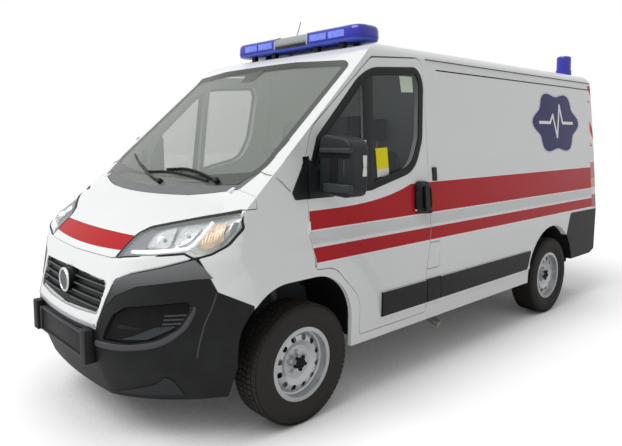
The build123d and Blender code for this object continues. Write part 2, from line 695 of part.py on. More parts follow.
door_leaf += moulding(MOULDING_START_Y, DOOR_BACK_LOW_Y)
side_panel_left += moulding(SIDE_JOINT_Y, MOULDING_END_Y)
side_panel_right += other_side(moulding(SLIDING_DOOR[1][0], MOULDING_END_Y))
side_panel_right += other_side(moulding(SIDE_JOINT_Y, SLIDING_DOOR[0][0]))
sliding_door += other_side(moulding(SLIDING_DOOR[0][0], SLIDING_DOOR[1][0]))
door_leaf += (envelope(-HANDLE_T) - MID_WALL) & left_cut(face_of(HANDLE))

# mirror: a rounded housing on an arm from the black corner plate of the door
sail_front = envelope(-SAIL_T)
sail = (sail_front - OUTER) & left_cut(face_of(SAIL))
sail_on_door = largest(sail & block(0, across, DOOR_FRONT_Y + PIN_R, 500, 0, ROOF_Z))
sail_on_pillar = largest(sail & block(0, across, -500, DOOR_FRONT_Y - GAP - SAIL_T, 0, ROOF_Z))
housing = along_y(face_of(MIRROR_FRONT), MIRROR_Y[0], MIRROR_Y[1])
housing = fillet(housing.edges().filter_by(GeomType.LINE).filter_by(Axis.Y, reverse=True), MIRROR_ROUND)
mirror_arm = block(HALF_WIDTH - 120, MIRROR_FRONT[0][0] + 30, *MIRROR_ARM_Y, *MIRROR_ARM_Z)
hinge_room = rod(DOOR_AXIS[0], on_door_axis(2 * DOOR_HINGE_Z[1] - DOOR_HINGE_Z[0]), PIN_R + PIN_GAP)
mirror_body = largest((housing + mirror_arm) - sail_front)
mirror_left = Compound(children=[mirror_body, largest(sail_on_door - hinge_room)])

# hang the doors, the fuel flap and the hood
fender_left, door_left = hinge(fender, door_leaf, *DOOR_AXIS, [0], DOOR_HINGE_HALF)
upper_place = (Vector(*DOOR_AXIS[1]) - Vector(*DOOR_AXIS[0])).length
door_right, fender_right = other_side(door_left), other_side(fender_left)
cab_frame, door_left = hinge(cab_frame, door_left, *DOOR_AXIS, [upper_place], DOOR_HINGE_HALF)
right_axis = [flip_x(p) for p in DOOR_AXIS]
cab_frame, door_right = hinge(cab_frame, door_right, *right_axis, [upper_place], DOOR_HINGE_HALF)

flap_plate = OUTER - envelope(FLAP_T)
cab_frame -= (OUTER - envelope(FLAP_POCKET)) & left_cut(face_of(FUEL_FLAP, FLAP_GAP))
fuel_flap = largest(flap_plate & left_cut(face_of(FUEL_FLAP)))
FLAP_AXIS = [(HALF_WIDTH, y + FLAP_GAP / 2, z) for y, z, r in FUEL_FLAP[2:]]
cab_frame, fuel_flap = hinge(cab_frame, fuel_flap, *FLAP_AXIS, [(FUEL_FLAP[3][1] - FUEL_FLAP[2][1]) / 2],
                             FLAP_HINGE_HALF, FLAP_PIN_R)

HOOD_AXIS_Y = HOOD_BACK_Y + GAP / 2
HOOD_AXIS = [(-HOOD_HINGE_X, HOOD_AXIS_Y, HOOD_AXIS_Z), (HOOD_HINGE_X, HOOD_AXIS_Y, HOOD_AXIS_Z)]
cowl, hood = hinge(cowl, hood, *HOOD_AXIS, [0, 2 * HOOD_HINGE_X], HOOD_HINGE_HALF, HOOD_PIN_R,
                   frame_lug=(0, 12, -4), leaf_lug=(0, -HOOD_LUG, -HOOD_LUG * 0.55))

# ------------------------------------------------ wheels
def ring(rows, x_mid):
    """Turn a closed profile of (x, radius, corner radius) about the x axis."""
    profile = face_of(rows)
    return Pos(x_mid, 0, 0) * revolve(profile, Axis.X, 360)


def wheel_pieces(x_mid, y_mid):
    """Tyre and steel wheel on the vehicle's left; the outer side faces +x."""
    half, edge = TYRE_W / 2, RIM_W / 2
    bead = edge - FLANGE_T - SEAT_GAP
    seat = RIM_R + SEAT_GAP
    bulge = (RIM_R + TYRE_R) / 2
    rows = [(bead, seat, 0), (bead, FLANGE_R + 4, 6), (half, bulge - 15, 24), (half - 5, TYRE_R - 28, 20),
            (half - 18, TYRE_R, 14)]
    tyre = ring(rows + [(-x, r, c) for x, r, c in reversed(rows)], x_mid)
    inner = RIM_R - RIM_T
    rim = ring([(-edge, FLANGE_R, 0), (-edge + FLANGE_T, FLANGE_R, 0), (-edge + FLANGE_T, RIM_R, 0),
                (-WELL_X, RIM_R, 6), (-WELL_X + 10, WELL_R, 6), (WELL_X - 20, WELL_R, 6), (WELL_X - 10, RIM_R, 6),
                (edge - FLANGE_T, RIM_R, 0), (edge - FLANGE_T, FLANGE_R, 0), (edge, FLANGE_R, 0),
                (edge, inner, 0), (WELL_X - 6, inner, 6), (WELL_X - 16, WELL_R - RIM_T, 6),
                (-WELL_X + 6, WELL_R - RIM_T, 6), (-WELL_X - 4, inner, 6), (-edge, inner, 0)], x_mid)
    face_rows = [(-28, RIM_R - 10, 0), (-8, 153, 12), (0, 128, 12), (-20, 95, 12), (-20, HUB_BORE_R, 0)]
    rim += ring([(DISC_X + x, r, c) for x, r, c in face_rows]
                + [(DISC_X - DISC_T + x, r, c) for x, r, c in reversed(face_rows)], x_mid)
    hole = rod((x_mid, 0, WHEEL_HOLE_PITCH_R), (x_mid + half, 0, WHEEL_HOLE_PITCH_R), WHEEL_HOLE_R)
    for i in range(WHEEL_HOLES):
        rim -= Rot(360 / WHEEL_HOLES * (i + 0.5), 0, 0) * hole
    hub_face = x_mid + DISC_X - 20
    hub = rod((hub_face - HUB_DEPTH, 0, 0), (hub_face, 0, 0), HUB_R)
    hub += rod((hub_face, 0, 0), (hub_face + HUB_CAP_T, 0, 0), HUB_CAP_R)
    hub -= rod((x_mid - half, 0, 0), (hub_face - DISC_T, 0, 0), HUB_BORE_R)
    bolt = rod((hub_face, 0, WHEEL_BOLT_PITCH_R), (hub_face + BOLT_T, 0, WHEEL_BOLT_PITCH_R), BOLT_R)
    for i in range(WHEEL_BOLTS):
        hub += Rot(360 / WHEEL_BOLTS * i, 0, 0) * bolt
    place = Pos(0, y_mid, AXLE_Z)
    return place * tyre, place * (rim + hub)


tyre_front, rim_front = wheel_pieces(TRACK_FRONT / 2, 0)
tyre_rear, rim_rear = wheel_pieces(TRACK_REAR / 2, REAR_AXLE_Y)

# ------------------------------------------------ rails, floor, liners, bulkhead
rail = block(RAIL_X - 40, RAIL_X + 40, RAIL_START_Y, REAR_Y - WALL, *RAIL_Z)
rail -= block(0, across, REAR_AXLE_Y - 120, REAR_AXLE_Y + 120, 0, AXLE_Z + AXLE_R + 60)
cross = block(-CROSS_HALF, CROSS_HALF, NOSE_Y, RAIL_START_Y, *RAIL_Z) & INNER[FENDER_T]
chassis_rails = both_sides(rail) + cross

well_rows = face_of(FRONT_ARCH, LINER_OUT + LINER_T)
front_well = along_x(well_rows, FRONT_WELL_X, across)
rear_well = along_x(Pos(*REAR_ARCH_CENTRE) * Circle(REAR_ARCH_R + LINER_T), REAR_WELL_X, across)
liner_base = block(0, across, NOSE_Y, REAR_Y, LINER_FOOT_Z, GUTTER_Z)
front_liner = (front_well - along_x(face_of(FRONT_ARCH, LINER_OUT), 0, across)) & liner_base & INNER[FENDER_T]
front_liner -= rod(on_kingpin(AXLE_Z), on_kingpin(STRUT_TOP_Z), STRUT_HOLE_R) + door_hole
rear_liner = rear_well - along_x(Pos(*REAR_ARCH_CENTRE) * Circle(REAR_ARCH_R), REAR_WELL_X + LINER_T, across)
rear_liner = rear_liner & liner_base & INNER[WALL]
arch_liners = both_sides(largest(front_liner)) + both_sides(largest(rear_liner))

floor = block(-across, across, FLOOR_START_Y, REAR_Y, *FLOOR_Z) & INNER[WALL]
floor += block(-LOAD_FLOOR_X, LOAD_FLOOR_X, *LOAD_FLOOR_Y, FLOOR_Z[0] + 1, LOAD_FLOOR_Z)
floor += block(-FRONT_WELL_X, FRONT_WELL_X, FIREWALL_Y[0], FLOOR_START_Y, *FLOOR_Z)
floor -= both_sides(rear_well)
firewall = block(-across, across, *FIREWALL_Y, FLOOR_Z[1], DASH_Z) & INNER[WALL]
firewall -= both_sides(front_well)
bulkhead = block(-across, across, SIDE_JOINT_Y, SIDE_JOINT_Y + BULKHEAD_T, FLOOR_Z[1], ROOF_Z) & INNER[WALL]
bulkhead -= along_y(face_of(BULKHEAD_WINDOW), SIDE_JOINT_Y - 1, SIDE_JOINT_Y + BULKHEAD_T + 1)

# ------------------------------------------------ front suspension and steering
SPINDLE_R = HUB_BORE_R - SEAT_GAP
HUB_FACE = DISC_X - 20
spindle_end = TRACK_FRONT / 2 + HUB_FACE - DISC_T - SEAT_GAP
knuckle_out = TRACK_FRONT / 2 + HUB_FACE - HUB_DEPTH - PIN_GAP
knuckle_left = rod((knuckle_out - 40, 0, AXLE_Z), (spindle_end, 0, AXLE_Z), SPINDLE_R)
knuckle_left += block(knuckle_out - KNUCKLE_T, knuckle_out, -45, 45, AXLE_Z - 95, AXLE_Z + 100)
knuckle_left += rod(on_kingpin(BALL_Z), on_kingpin(AXLE_Z), BALL_R)
knuckle_left += rod(on_kingpin(AXLE_Z), on_kingpin(STRUT_TOP_Z), STRUT_R)
knuckle_left += block(knuckle_out - KNUCKLE_T, knuckle_out - 25, 40, STEER_ARM_Y, AXLE_Z - 60, AXLE_Z - 35)

ball_x = on_kingpin(BALL_Z)[0]
arm_top = BALL_Z - BALL_R * sin(KINGPIN_TILT) - SEAT_GAP
lower_arm = along_z(face_of([(380, -140, 10), (ball_x - 60, -42, 20), (ball_x + 26, -28, 20), (ball_x + 26, 28, 20),
                             (ball_x - 60, 42, 20), (380, 180, 10)]), arm_top - ARM_T, arm_top)
subframe = block(-400, 400, -150, 190, *SUBFRAME_Z) - block(-300, 300, -90, 130, 0, RAIL_Z[0])
for side in (1, -1):
    subframe += block(side * RAIL_X - 40, side * RAIL_X + 40, -150, 190, SUBFRAME_Z[0], RAIL_Z[0])
front_subframe = subframe + both_sides(lower_arm)
front_subframe += rod((-RACK_HALF, RACK_Y, RACK_Z), (RACK_HALF, RACK_Y, RACK_Z), RACK_R)
tower_z = STRUT_TOP_Z + STRUT_R * sin(KINGPIN_TILT) + SEAT_GAP
strut_tower = block(TOWER_X, TOWER_X + TOWER_W, FIREWALL_Y[1], TOWER_END_Y, tower_z, tower_z + TOWER_T)
strut_towers = both_sides(strut_tower)

# rear axle: a beam with drums, on leaf springs
rear_end = TRACK_REAR / 2 + HUB_FACE - DISC_T - SEAT_GAP
drum_x = TRACK_REAR / 2 + HUB_FACE - HUB_DEPTH - PIN_GAP


def axle_rod(x0, x1, radius):
    return rod((x0, REAR_AXLE_Y, AXLE_Z), (x1, REAR_AXLE_Y, AXLE_Z), radius)


brake_drum = axle_rod(drum_x - DRUM_T, drum_x, DRUM_R)
axle_half = axle_rod(0, drum_x, AXLE_R) + brake_drum + axle_rod(0, rear_end, SPINDLE_R)
rear_axle = both_sides(axle_half)
spring_z = AXLE_Z - AXLE_R
leaf_spring = block(SPRING_X - 35, SPRING_X + 35, REAR_AXLE_Y - SPRING_HALF, REAR_AXLE_Y + SPRING_HALF,
                    spring_z - SPRING_T, spring_z)
for y in (REAR_AXLE_Y - SPRING_HALF, REAR_AXLE_Y + SPRING_HALF - HANGER_T):
    leaf_spring += block(SPRING_X - 35, SPRING_X + 35, y, y + HANGER_T, spring_z - SPRING_T, FLOOR_Z[0])
leaf_springs = both_sides(leaf_spring)

# ------------------------------------------------ engine, exhaust and fuel tank
engine_block = block(-RAIL_X + 40, RAIL_X - 40, *ENGINE_Y, *ENGINE_Z)
pipe_path = FilletPolyline((PIPE_X, ENGINE_Y[1], PIPE_Z), (PIPE_X, SILENCER_Y[1] + 130, PIPE_Z),
                           (RAIL_X + 130, PIPE_END_Y, PIPE_Z), (HALF_WIDTH - 140, PIPE_END_Y + 25, PIPE_END_Z),
                           radius=[110, 110])
start = Plane(origin=pipe_path @ 0, z_dir=pipe_path % 0)
exhaust = sweep(start * Circle(PIPE_R), path=pipe_path)
exhaust += rod((PIPE_X, SILENCER_Y[0], PIPE_Z), (PIPE_X, SILENCER_Y[1], PIPE_Z), SILENCER_R)
exhaust += block(RAIL_X - 20, RAIL_X + 20, PIPE_END_Y - 45, PIPE_END_Y - 20, PIPE_Z, RAIL_Z[0])
fuel_tank = block(-RAIL_X + 60, RAIL_X - 60, *TANK_Y, TANK_Z, FLOOR_Z[0])
fuel_tank = fillet(fuel_tank.edges().filter_by(Axis.Z), 40)

# ------------------------------------------------ cab interior
dashboard = (along_x(face_of(DASH), -across, across) & INNER[WALL]) - both_sides(front_well)
column_way = Vector(0, cos(COLUMN_ANGLE), sin(COLUMN_ANGLE))
wheel_centre = Vector(*STEER_WHEEL)


def on_column(back):
    return (wheel_centre - column_way * back)


column = rod(on_column(COLUMN_LENGTH), on_column(STEER_HUB_T / 2 + SEAT_GAP), COLUMN_R)
dashboard += column
flat_wheel = revolve(Plane.XZ * Pos(STEER_R, 0) * RegularPolygon(STEER_GRIP_R, 16), Axis.Z, 360)
flat_wheel += Cylinder(STEER_HUB_R, STEER_HUB_T)
for angle in STEER_SPOKES:
    flat_wheel += Rot(0, 0, angle) * rod((STEER_HUB_R / 2, 0, 0), (STEER_R, 0, 0), STEER_SPOKE_R)
steering_wheel = Plane(origin=wheel_centre, x_dir=(1, 0, 0), z_dir=column_way) * flat_wheel


def seat(x):
    """Pedestal, cushion, backrest and headrest, each resting on the one before."""
    half = SEAT_W / 2
    pedestal = block(x - half + 40, x + half - 40, SEAT_Y + 60, SEAT_Y + SEAT_L - 40, FLOOR_Z[1], SEAT_Z)
    cushion = along_x(face_of([(SEAT_Y, SEAT_Z, 20), (SEAT_Y, SEAT_Z + 130, 50), (SEAT_Y + SEAT_L, SEAT_Z + 110, 20),
                               (SEAT_Y + SEAT_L, SEAT_Z, 20)]), x - half, x + half)
    foot_y, foot_z = SEAT_Y + SEAT_L - 70, SEAT_Z + 118
    back = along_x(face_of([(foot_y, foot_z, 20), (foot_y + 150, SEAT_Z, 20), (foot_y + 230, foot_z + 610, 40),
                            (foot_y + 120, foot_z + 620, 40)]), x - half, x + half)
    back -= cushion
    head = along_x(face_of([(foot_y + 135, foot_z + 655, 25), (foot_y + 225, foot_z + 650, 25),
                            (foot_y + 240, foot_z + 830, 30), (foot_y + 165, foot_z + 835, 30)]), x - 125, x + 125)
    for post in (-60, 60):
        head += rod((x + post, foot_y + 170, foot_z + 600), (x + post, foot_y + 182, foot_z + 670), 7)
    return pedestal, cushion, largest(back), largest(head - back)


# ------------------------------------------------ roof equipment
bar_body = block(-BAR_HALF, BAR_HALF, BAR_Y - BAR_DEEP / 2, BAR_Y + BAR_DEEP / 2, *BAR_Z)
bar_body = fillet(bar_body.edges().filter_by(Axis.Z), BAR_DEEP * 0.38)
bar_body = fillet(bar_body.edges().group_by(Axis.Z)[-1], 22)
middle = block(-BAR_MID_HALF, BAR_MID_HALF, 0, 2 * BAR_Y, 0, FAR)
plinth = block(-FAR, FAR, 0, 2 * BAR_Y, 0, BAR_Z[0] + BAR_PLINTH_T)
light_bar_lenses = (bar_body - plinth) - middle
light_bar_frame = (bar_body & plinth) + (bar_body & middle)
for x in (-BAR_FOOT_X, BAR_FOOT_X):
    for y in (BAR_Y - 70, BAR_Y + 70):
        light_bar_frame += block(x - 30, x + 30, y - 22, y + 22, ROOF_Z - 120, BAR_Z[0]) - OUTER
beacon_z = BEACON_TOP_Z - BEACON_H
rear_beacon = rod((BEACON_X, BEACON_Y, ROOF_Z - 90), (BEACON_X, BEACON_Y, beacon_z + 25), BEACON_R + 6) - OUTER
rear_beacon = largest(rear_beacon)
dome = rod((BEACON_X, BEACON_Y, beacon_z + 25), (BEACON_X, BEACON_Y, BEACON_TOP_Z), BEACON_R)
rear_beacon += fillet(dome.edges().group_by(Axis.Z)[-1], 22)
antenna = largest(rod((*ANTENNA_FOOT, ROOF_Z - 60), (*ANTENNA_FOOT, ROOF_Z + 12), 16) - OUTER)
antenna += rod((*ANTENNA_FOOT, ROOF_Z + 4), ANTENNA_TIP, 3)


# ------------------------------------------------ wipers, lying just off the glass
def on_screen(x, up, out):
    """A point of the windscreen: across, up the slope from its foot, and out from it."""
    slope = radians(SCREEN_ANGLE)
    drop = SCREEN_R - sqrt(SCREEN_R ** 2 - x ** 2)
    return (x, SCREEN_FOOT[0] + up * cos(slope) - (out - drop) * sin(slope),
            SCREEN_FOOT[1] + up * sin(slope) + (out - drop) * cos(slope))


wipers = []
for pivot_x, pivot_up, tip_x, tip_up in WIPER_ARMS:
    pivot = on_screen(pivot_x, pivot_up, WIPER_OUT)
    knee = on_screen(tip_x, tip_up, WIPER_OUT)
    blade = [on_screen(tip_x + dx, tip_up + dx * BLADE_SLOPE, WIPER_OUT) for dx in (-BLADE_HALF, BLADE_HALF)]
    boss = rod((pivot[0], pivot[1], pivot[2] - 60), (pivot[0], pivot[1], pivot[2] + 12), WIPER_BOSS_R)
    wiper = rod(pivot, knee, WIPER_R) + rod(*blade, WIPER_R) + (boss - OUTER)
    wipers.append(largest(wiper - OUTER))

# ------------------------------------------------ writing the pieces
PIECES = {
    "roof": roof,
    "side_panel_left": side_panel_left,
    "side_panel_right": side_panel_right,
    "sliding_door": sliding_door,
    "sliding_door_glass": sliding_glass,
    "cab_frame": cab_frame,
    "windscreen": windscreen,
    "cowl": cowl,
    "hood": hood,
    "fender_left": fender_left,
    "fender_right": fender_right,
    "front_bumper": bumper,
    "grille_surround": surround,
    "grille": grille,
    "headlamps": headlamps,
    "plate_holder": plate_holder,
    "cab_door_left": door_left,
    "cab_door_right": door_right,
    "cab_glass_left": door_panes,
    "cab_glass_right": other_side(door_panes),
    "mirror_left": mirror_left,
    "mirror_right": other_side(mirror_left),
    "mirror_corners": both_sides(sail_on_pillar),
    "fuel_flap": fuel_flap,
    "rear_door_left": rear_door_left,
    "rear_door_right": rear_door_right,
    "rear_glass_left": rear_pane,
    "rear_glass_right": other_side(rear_pane),
    "tail_lamps": tail_lamps,
    "rear_bumper": rear_bumper,
    "chassis_rails": chassis_rails,
    "arch_liners": arch_liners,
    "floor": floor,
    "firewall": firewall + strut_towers,
    "bulkhead": bulkhead,
    "front_subframe": front_subframe,
    "knuckle_left": knuckle_left,
    "knuckle_right": other_side(knuckle_left),
    "rear_axle": rear_axle,
    "leaf_springs": leaf_springs,
    "engine_block": engine_block,
    "exhaust": exhaust,
    "fuel_tank": fuel_tank,
    "dashboard": dashboard,
    "steering_wheel": steering_wheel,
    "light_bar_frame": light_bar_frame,
    "light_bar_lenses": light_bar_lenses,
    "rear_beacon": rear_beacon,
    "antenna": antenna,
    "tyre_front_left": tyre_front,
    "tyre_front_right": other_side(tyre_front),
    "tyre_rear_left": tyre_rear,
    "tyre_rear_right": other_side(tyre_rear),
    "rim_front_left": rim_front,
    "rim_front_right": other_side(rim_front),
    "rim_rear_left": rim_rear,
    "rim_rear_right": other_side(rim_rear),
}
seats = [piece for x in (-SEAT_X, SEAT_X) for piece in seat(x)]
for name, shape in PIECES.items():
    save(name, shape)
save("seats", seats)
save("wipers", wipers)
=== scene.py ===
# %% [markdown]
# # A panel van ambulance
# The van is dressed over a fixed frame of solids. Each solid already stands in its place, in
# metres, with the front towards -Y and the wheels on the floor. So every piece is either a
# smoothed copy of a solid with a better finish, or a new shape laid against one.
#
# This first cell loads the frame.

# %% Load the frame
import json
import math
from functools import lru_cache
import bmesh
import bpy
from mathutils import Matrix, Vector
from mathutils.bvhtree import BVHTree

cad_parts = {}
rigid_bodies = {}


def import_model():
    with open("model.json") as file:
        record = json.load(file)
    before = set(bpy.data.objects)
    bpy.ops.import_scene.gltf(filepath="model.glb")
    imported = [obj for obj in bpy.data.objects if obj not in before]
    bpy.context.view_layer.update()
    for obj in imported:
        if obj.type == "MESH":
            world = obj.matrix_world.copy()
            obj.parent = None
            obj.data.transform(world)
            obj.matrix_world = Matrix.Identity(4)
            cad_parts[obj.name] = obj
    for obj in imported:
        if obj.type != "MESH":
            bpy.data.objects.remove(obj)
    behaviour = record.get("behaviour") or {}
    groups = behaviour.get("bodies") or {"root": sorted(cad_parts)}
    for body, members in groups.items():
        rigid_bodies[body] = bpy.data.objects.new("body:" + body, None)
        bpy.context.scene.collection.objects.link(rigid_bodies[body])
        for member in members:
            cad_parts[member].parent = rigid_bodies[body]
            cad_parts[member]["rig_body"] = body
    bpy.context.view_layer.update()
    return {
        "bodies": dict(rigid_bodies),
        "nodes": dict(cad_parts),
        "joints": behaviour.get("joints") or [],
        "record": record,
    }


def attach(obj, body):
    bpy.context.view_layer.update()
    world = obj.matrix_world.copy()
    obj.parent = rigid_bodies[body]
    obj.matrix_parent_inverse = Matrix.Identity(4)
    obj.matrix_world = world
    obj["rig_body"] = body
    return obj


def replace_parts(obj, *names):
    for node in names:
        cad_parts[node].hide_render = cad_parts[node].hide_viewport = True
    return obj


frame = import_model()
NODES = frame["nodes"]
AXLE_Y = -1.5185             # front axle; the lengths below are counted back from it
REAR_AXLE = 3.0

# %% [markdown]
# ## Shader maths
# A finish is a small tree of nodes. Wiring maths by hand soon becomes hard to read, so one class
# wraps a socket and lets an expression such as `1 - mask` add its own Math nodes. A second class
# holds one material and makes every other kind of node.

# %% Wire: a value in a shader
class Wire:
    def __init__(self, tree, socket):
        self.tree, self.socket = tree, socket

    def maths(self, operation, *values):
        node = self.tree.nodes.new("ShaderNodeMath")
        node.operation = operation
        for entry, value in zip(node.inputs, values):
            if isinstance(value, Wire):
                self.tree.links.new(value.socket, entry)
            else:
                entry.default_value = value
        return Wire(self.tree, node.outputs[0])

    def __add__(self, other): return self.maths("ADD", self, other)
    def __radd__(self, other): return self.maths("ADD", other, self)
    def __sub__(self, other): return self.maths("SUBTRACT", self, other)
    def __rsub__(self, other): return self.maths("SUBTRACT", other, self)
    def __mul__(self, other): return self.maths("MULTIPLY", self, other)
    def __rmul__(self, other): return self.maths("MULTIPLY", other, self)
    def __truediv__(self, other): return self.maths("DIVIDE", self, other)
    def __gt__(self, other): return self.maths("GREATER_THAN", self, other)
    def __lt__(self, other): return self.maths("LESS_THAN", self, other)
    def __abs__(self): return self.maths("ABSOLUTE", self)
    def __mod__(self, other): return self.maths("FLOORED_MODULO", self, other)

    def most(self, other): return self.maths("MAXIMUM", self, other)
    def least(self, other): return self.maths("MINIMUM", self, other)
    def sine(self): return self.maths("SINE", self)
    def root(self): return self.maths("SQRT", self)
    def within(self, low, high): return (self > low) * (self < high)
    def clamped(self): return self.most(0).least(1)

    def soft(self, edge, width):
        """0 below the edge and 1 above it, with a short ramp between"""
        return ((self - edge) / width + 0.5).clamped()


# %% Finish: one material
def paint_value(code):
    """The linear colour of an sRGB hex code"""
    channels = [int(code[i:i + 2], 16) / 255 for i in (0, 2, 4)]
    return tuple(c / 12.92 if c <= 0.04045 else ((c + 0.055) / 1.055) ** 2.4
                 for c in channels) + (1,)


class Finish:
    def __init__(self, name, colour, roughness, **sockets):
        self.material = bpy.data.materials.new(name)
        self.material.use_nodes = True
        self.tree = self.material.node_tree
        self.shader = self.tree.nodes["Principled BSDF"]
        self.shader.inputs["Base Color"].default_value = paint_value(colour)
        self.shader.inputs["Roughness"].default_value = roughness
        for socket, value in sockets.items():
            self.shader.inputs[socket.replace("_", " ")].default_value = value
        self.material.diffuse_color = paint_value(colour)

    def node(self, kind, settings=None, out=0, **sockets):
        node = self.tree.nodes.new("ShaderNode" + kind)
        for setting, value in (settings or {}).items():
            setattr(node, setting, value)
        for name, value in sockets.items():
            key = int(name[1:]) if name[0] == "_" else name.replace("_", " ")
            entry = node.inputs[key]
            if isinstance(value, Wire):
                self.tree.links.new(value.socket, entry)
            else:
                entry.default_value = value
        return Wire(self.tree, node.outputs[out])

    def feed(self, socket, wire):
        self.tree.links.new(wire.socket, self.shader.inputs[socket])
        return self

    def place(self):
        return self.node("TexCoord", out=3)

    def at(self):
        """x, y and z on the van at rest; y counts back from the front axle"""
        split = self.node("SeparateXYZ", Vector=self.place())
        x, y, z = (Wire(self.tree, socket) for socket in split.socket.node.outputs)
        return x, y - AXLE_Y, z

    def noise(self, scale, detail=2.0):
        return self.node("TexNoise", Vector=self.place(), Scale=scale, Detail=detail, Roughness=0.5)

    def mix(self, factor, first, second):
        """Colours are mixed as colours, since a Math node would turn them grey"""
        node = self.tree.nodes.new("ShaderNodeMix")
        node.data_type = "RGBA"
        for index, value in ((0, factor), (6, first), (7, second)):
            if isinstance(value, Wire):
                self.tree.links.new(value.socket, node.inputs[index])
            elif isinstance(value, str):
                node.inputs[index].default_value = paint_value(value)
            else:
                node.inputs[index].default_value = value
        return Wire(self.tree, node.outputs[2])

    def bump(self, height, strength, distance=0.001):
        return self.feed("Normal", self.node("Bump", Height=height, Strength=strength,
                                             Distance=distance))


print("the shader classes are ready")

# %% [markdown]
# ## Body paint
# The bodywork is plain white under a clear coat. On it lie red reflective stripes with thin white
# edges, a round badge on each side, slanting blocks at the rear corners and a red band across the
# hood. All of these are flat films, so they belong to the paint and follow the panels on
# their own: each one is a mask worked out from where a point is on the van.

# %% Sizes of the films and pressings, in metres from the floor and the front axle
STRIPE_LOW = (0.905, 0.990)             # the thin red stripe, lower and upper edge
STRIPE_HIGH = (1.090, 1.295)            # the broad red stripe
STRIPE_START = 0.046                    # both begin here and run back
STRIPE_EDGE = 0.009                     # width of their white edges
DIP, DIP_END, DIP_LENGTH = 0.099, 0.955, 0.89      # the broad one narrows towards the front
GROOVE = (1.010, 1.082)                 # the crease between the stripes, painted a little darker as painted shade
FLANK_X = 0.70                          # farther out than this is the van's side
REAR_Y = 3.9                            # farther back than this are the rear doors
PANEL_Y = 1.262                         # behind the cab door
# The pressed step along the panel, and the bulge round the front wheel
SWAGE, SWAGE_DEPTH = (1.370, 1.460), 12.0
ARCH_Z, FLARE, FLARE_DEPTH = 0.341, (0.645, 0.715), 30.0
ARCH_FOOT = 0.45                        # the bulge stays above this
# The slanting blocks at the rear corners, and the black corner ahead of the door glass
MARK_LEVELS, MARK_Y = ((1.93, 2.10), (1.50, 1.75)), (3.86, 3.985)
MARK_PITCH, MARK_SLANT = 0.17, 0.8
SAIL_Z, SAIL_Y, SAIL_X = (1.40, 1.495), (0.020, 0.060), 0.9
# The middle of the badge, and the height that it stays above
BADGE, BADGE_LOW = (3.137, 1.724), 1.40
OUTWARD_SIDE, OUTWARD_REAR = 0.15, 0.3  # how squarely a face has to look outwards
BODY_SHINE, HOOD_SHINE = 0.14, 0.08
BODY_WHITE, FILM_WHITE, RED, HOOD_RED, NAVY = "FBFCFC", "FFFFFF", "EE1820", "BE1217", "120D5C"
print("stripes from", STRIPE_LOW[0], "to", STRIPE_HIGH[1], "m up")


# %% Stripes, band and badge as masks
def stripe_masks(z, top, where):
    """The red of both stripes, and the same grown by the white edges"""
    return [(z.within(STRIPE_LOW[0] - edge, STRIPE_LOW[1] + edge)
             + z.within(STRIPE_HIGH[0] - edge, top + edge)) * where for edge in (0, STRIPE_EDGE)]


def badge_on(paint, colour, y, z, where):
    """A navy six-lobed badge with a pale rim and a white pulse line"""
    side, up = y - BADGE[0], z - BADGE[1]
    across = side / 1.62                # the badge is longer than it is high
    reach = (across * across + up * up).root()
    angle = paint.node("Math", {"operation": "ARCTAN2"}, _0=up, _1=across)
    lobes = 0.258 + 0.026 * (angle * 6 + math.pi / 2).sine()
    colour = paint.mix((reach < lobes + 0.016) * where, colour, "DDE3EE")
    colour = paint.mix((reach < lobes) * where, colour, NAVY)
    line = [(-0.33, 0.0), (-0.13, 0.0), (-0.07, 0.07), (0.0, -0.13), (0.07, 0.16), (0.12, 0.0),
            (0.33, 0.0)]
    near = None
    for (a, b), (c, d) in zip(line, line[1:]):
        length = (c - a) ** 2 + (d - b) ** 2
        t = (((side - a) * (c - a) + (up - b) * (d - b)) / length).clamped()
        gap_y = side - a - t * (c - a)
        gap_z = up - b - t * (d - b)
        gap = (gap_y * gap_y + gap_z * gap_z).root()
        near = gap if near is None else near.least(gap)
    return paint.mix((near < 0.013) * where, colour, FILM_WHITE)


def hood_band_on(paint, colour, x, y):
    """The red band across the nose: both edges bend back and its ends are slanted"""
    side = abs(x)
    front = -0.823 + side * side * 0.14
    back = -0.739 + side * side * 0.10
    end = 0.450 + (y + 0.823) * 0.55
    inside = (y > front) * (y < back) * (side < end)
    rim = (y > front - 0.007) * (y < back + 0.007) * (side < end + 0.008)
    return paint.mix(inside, paint.mix(rim, colour, FILM_WHITE), HOOD_RED)


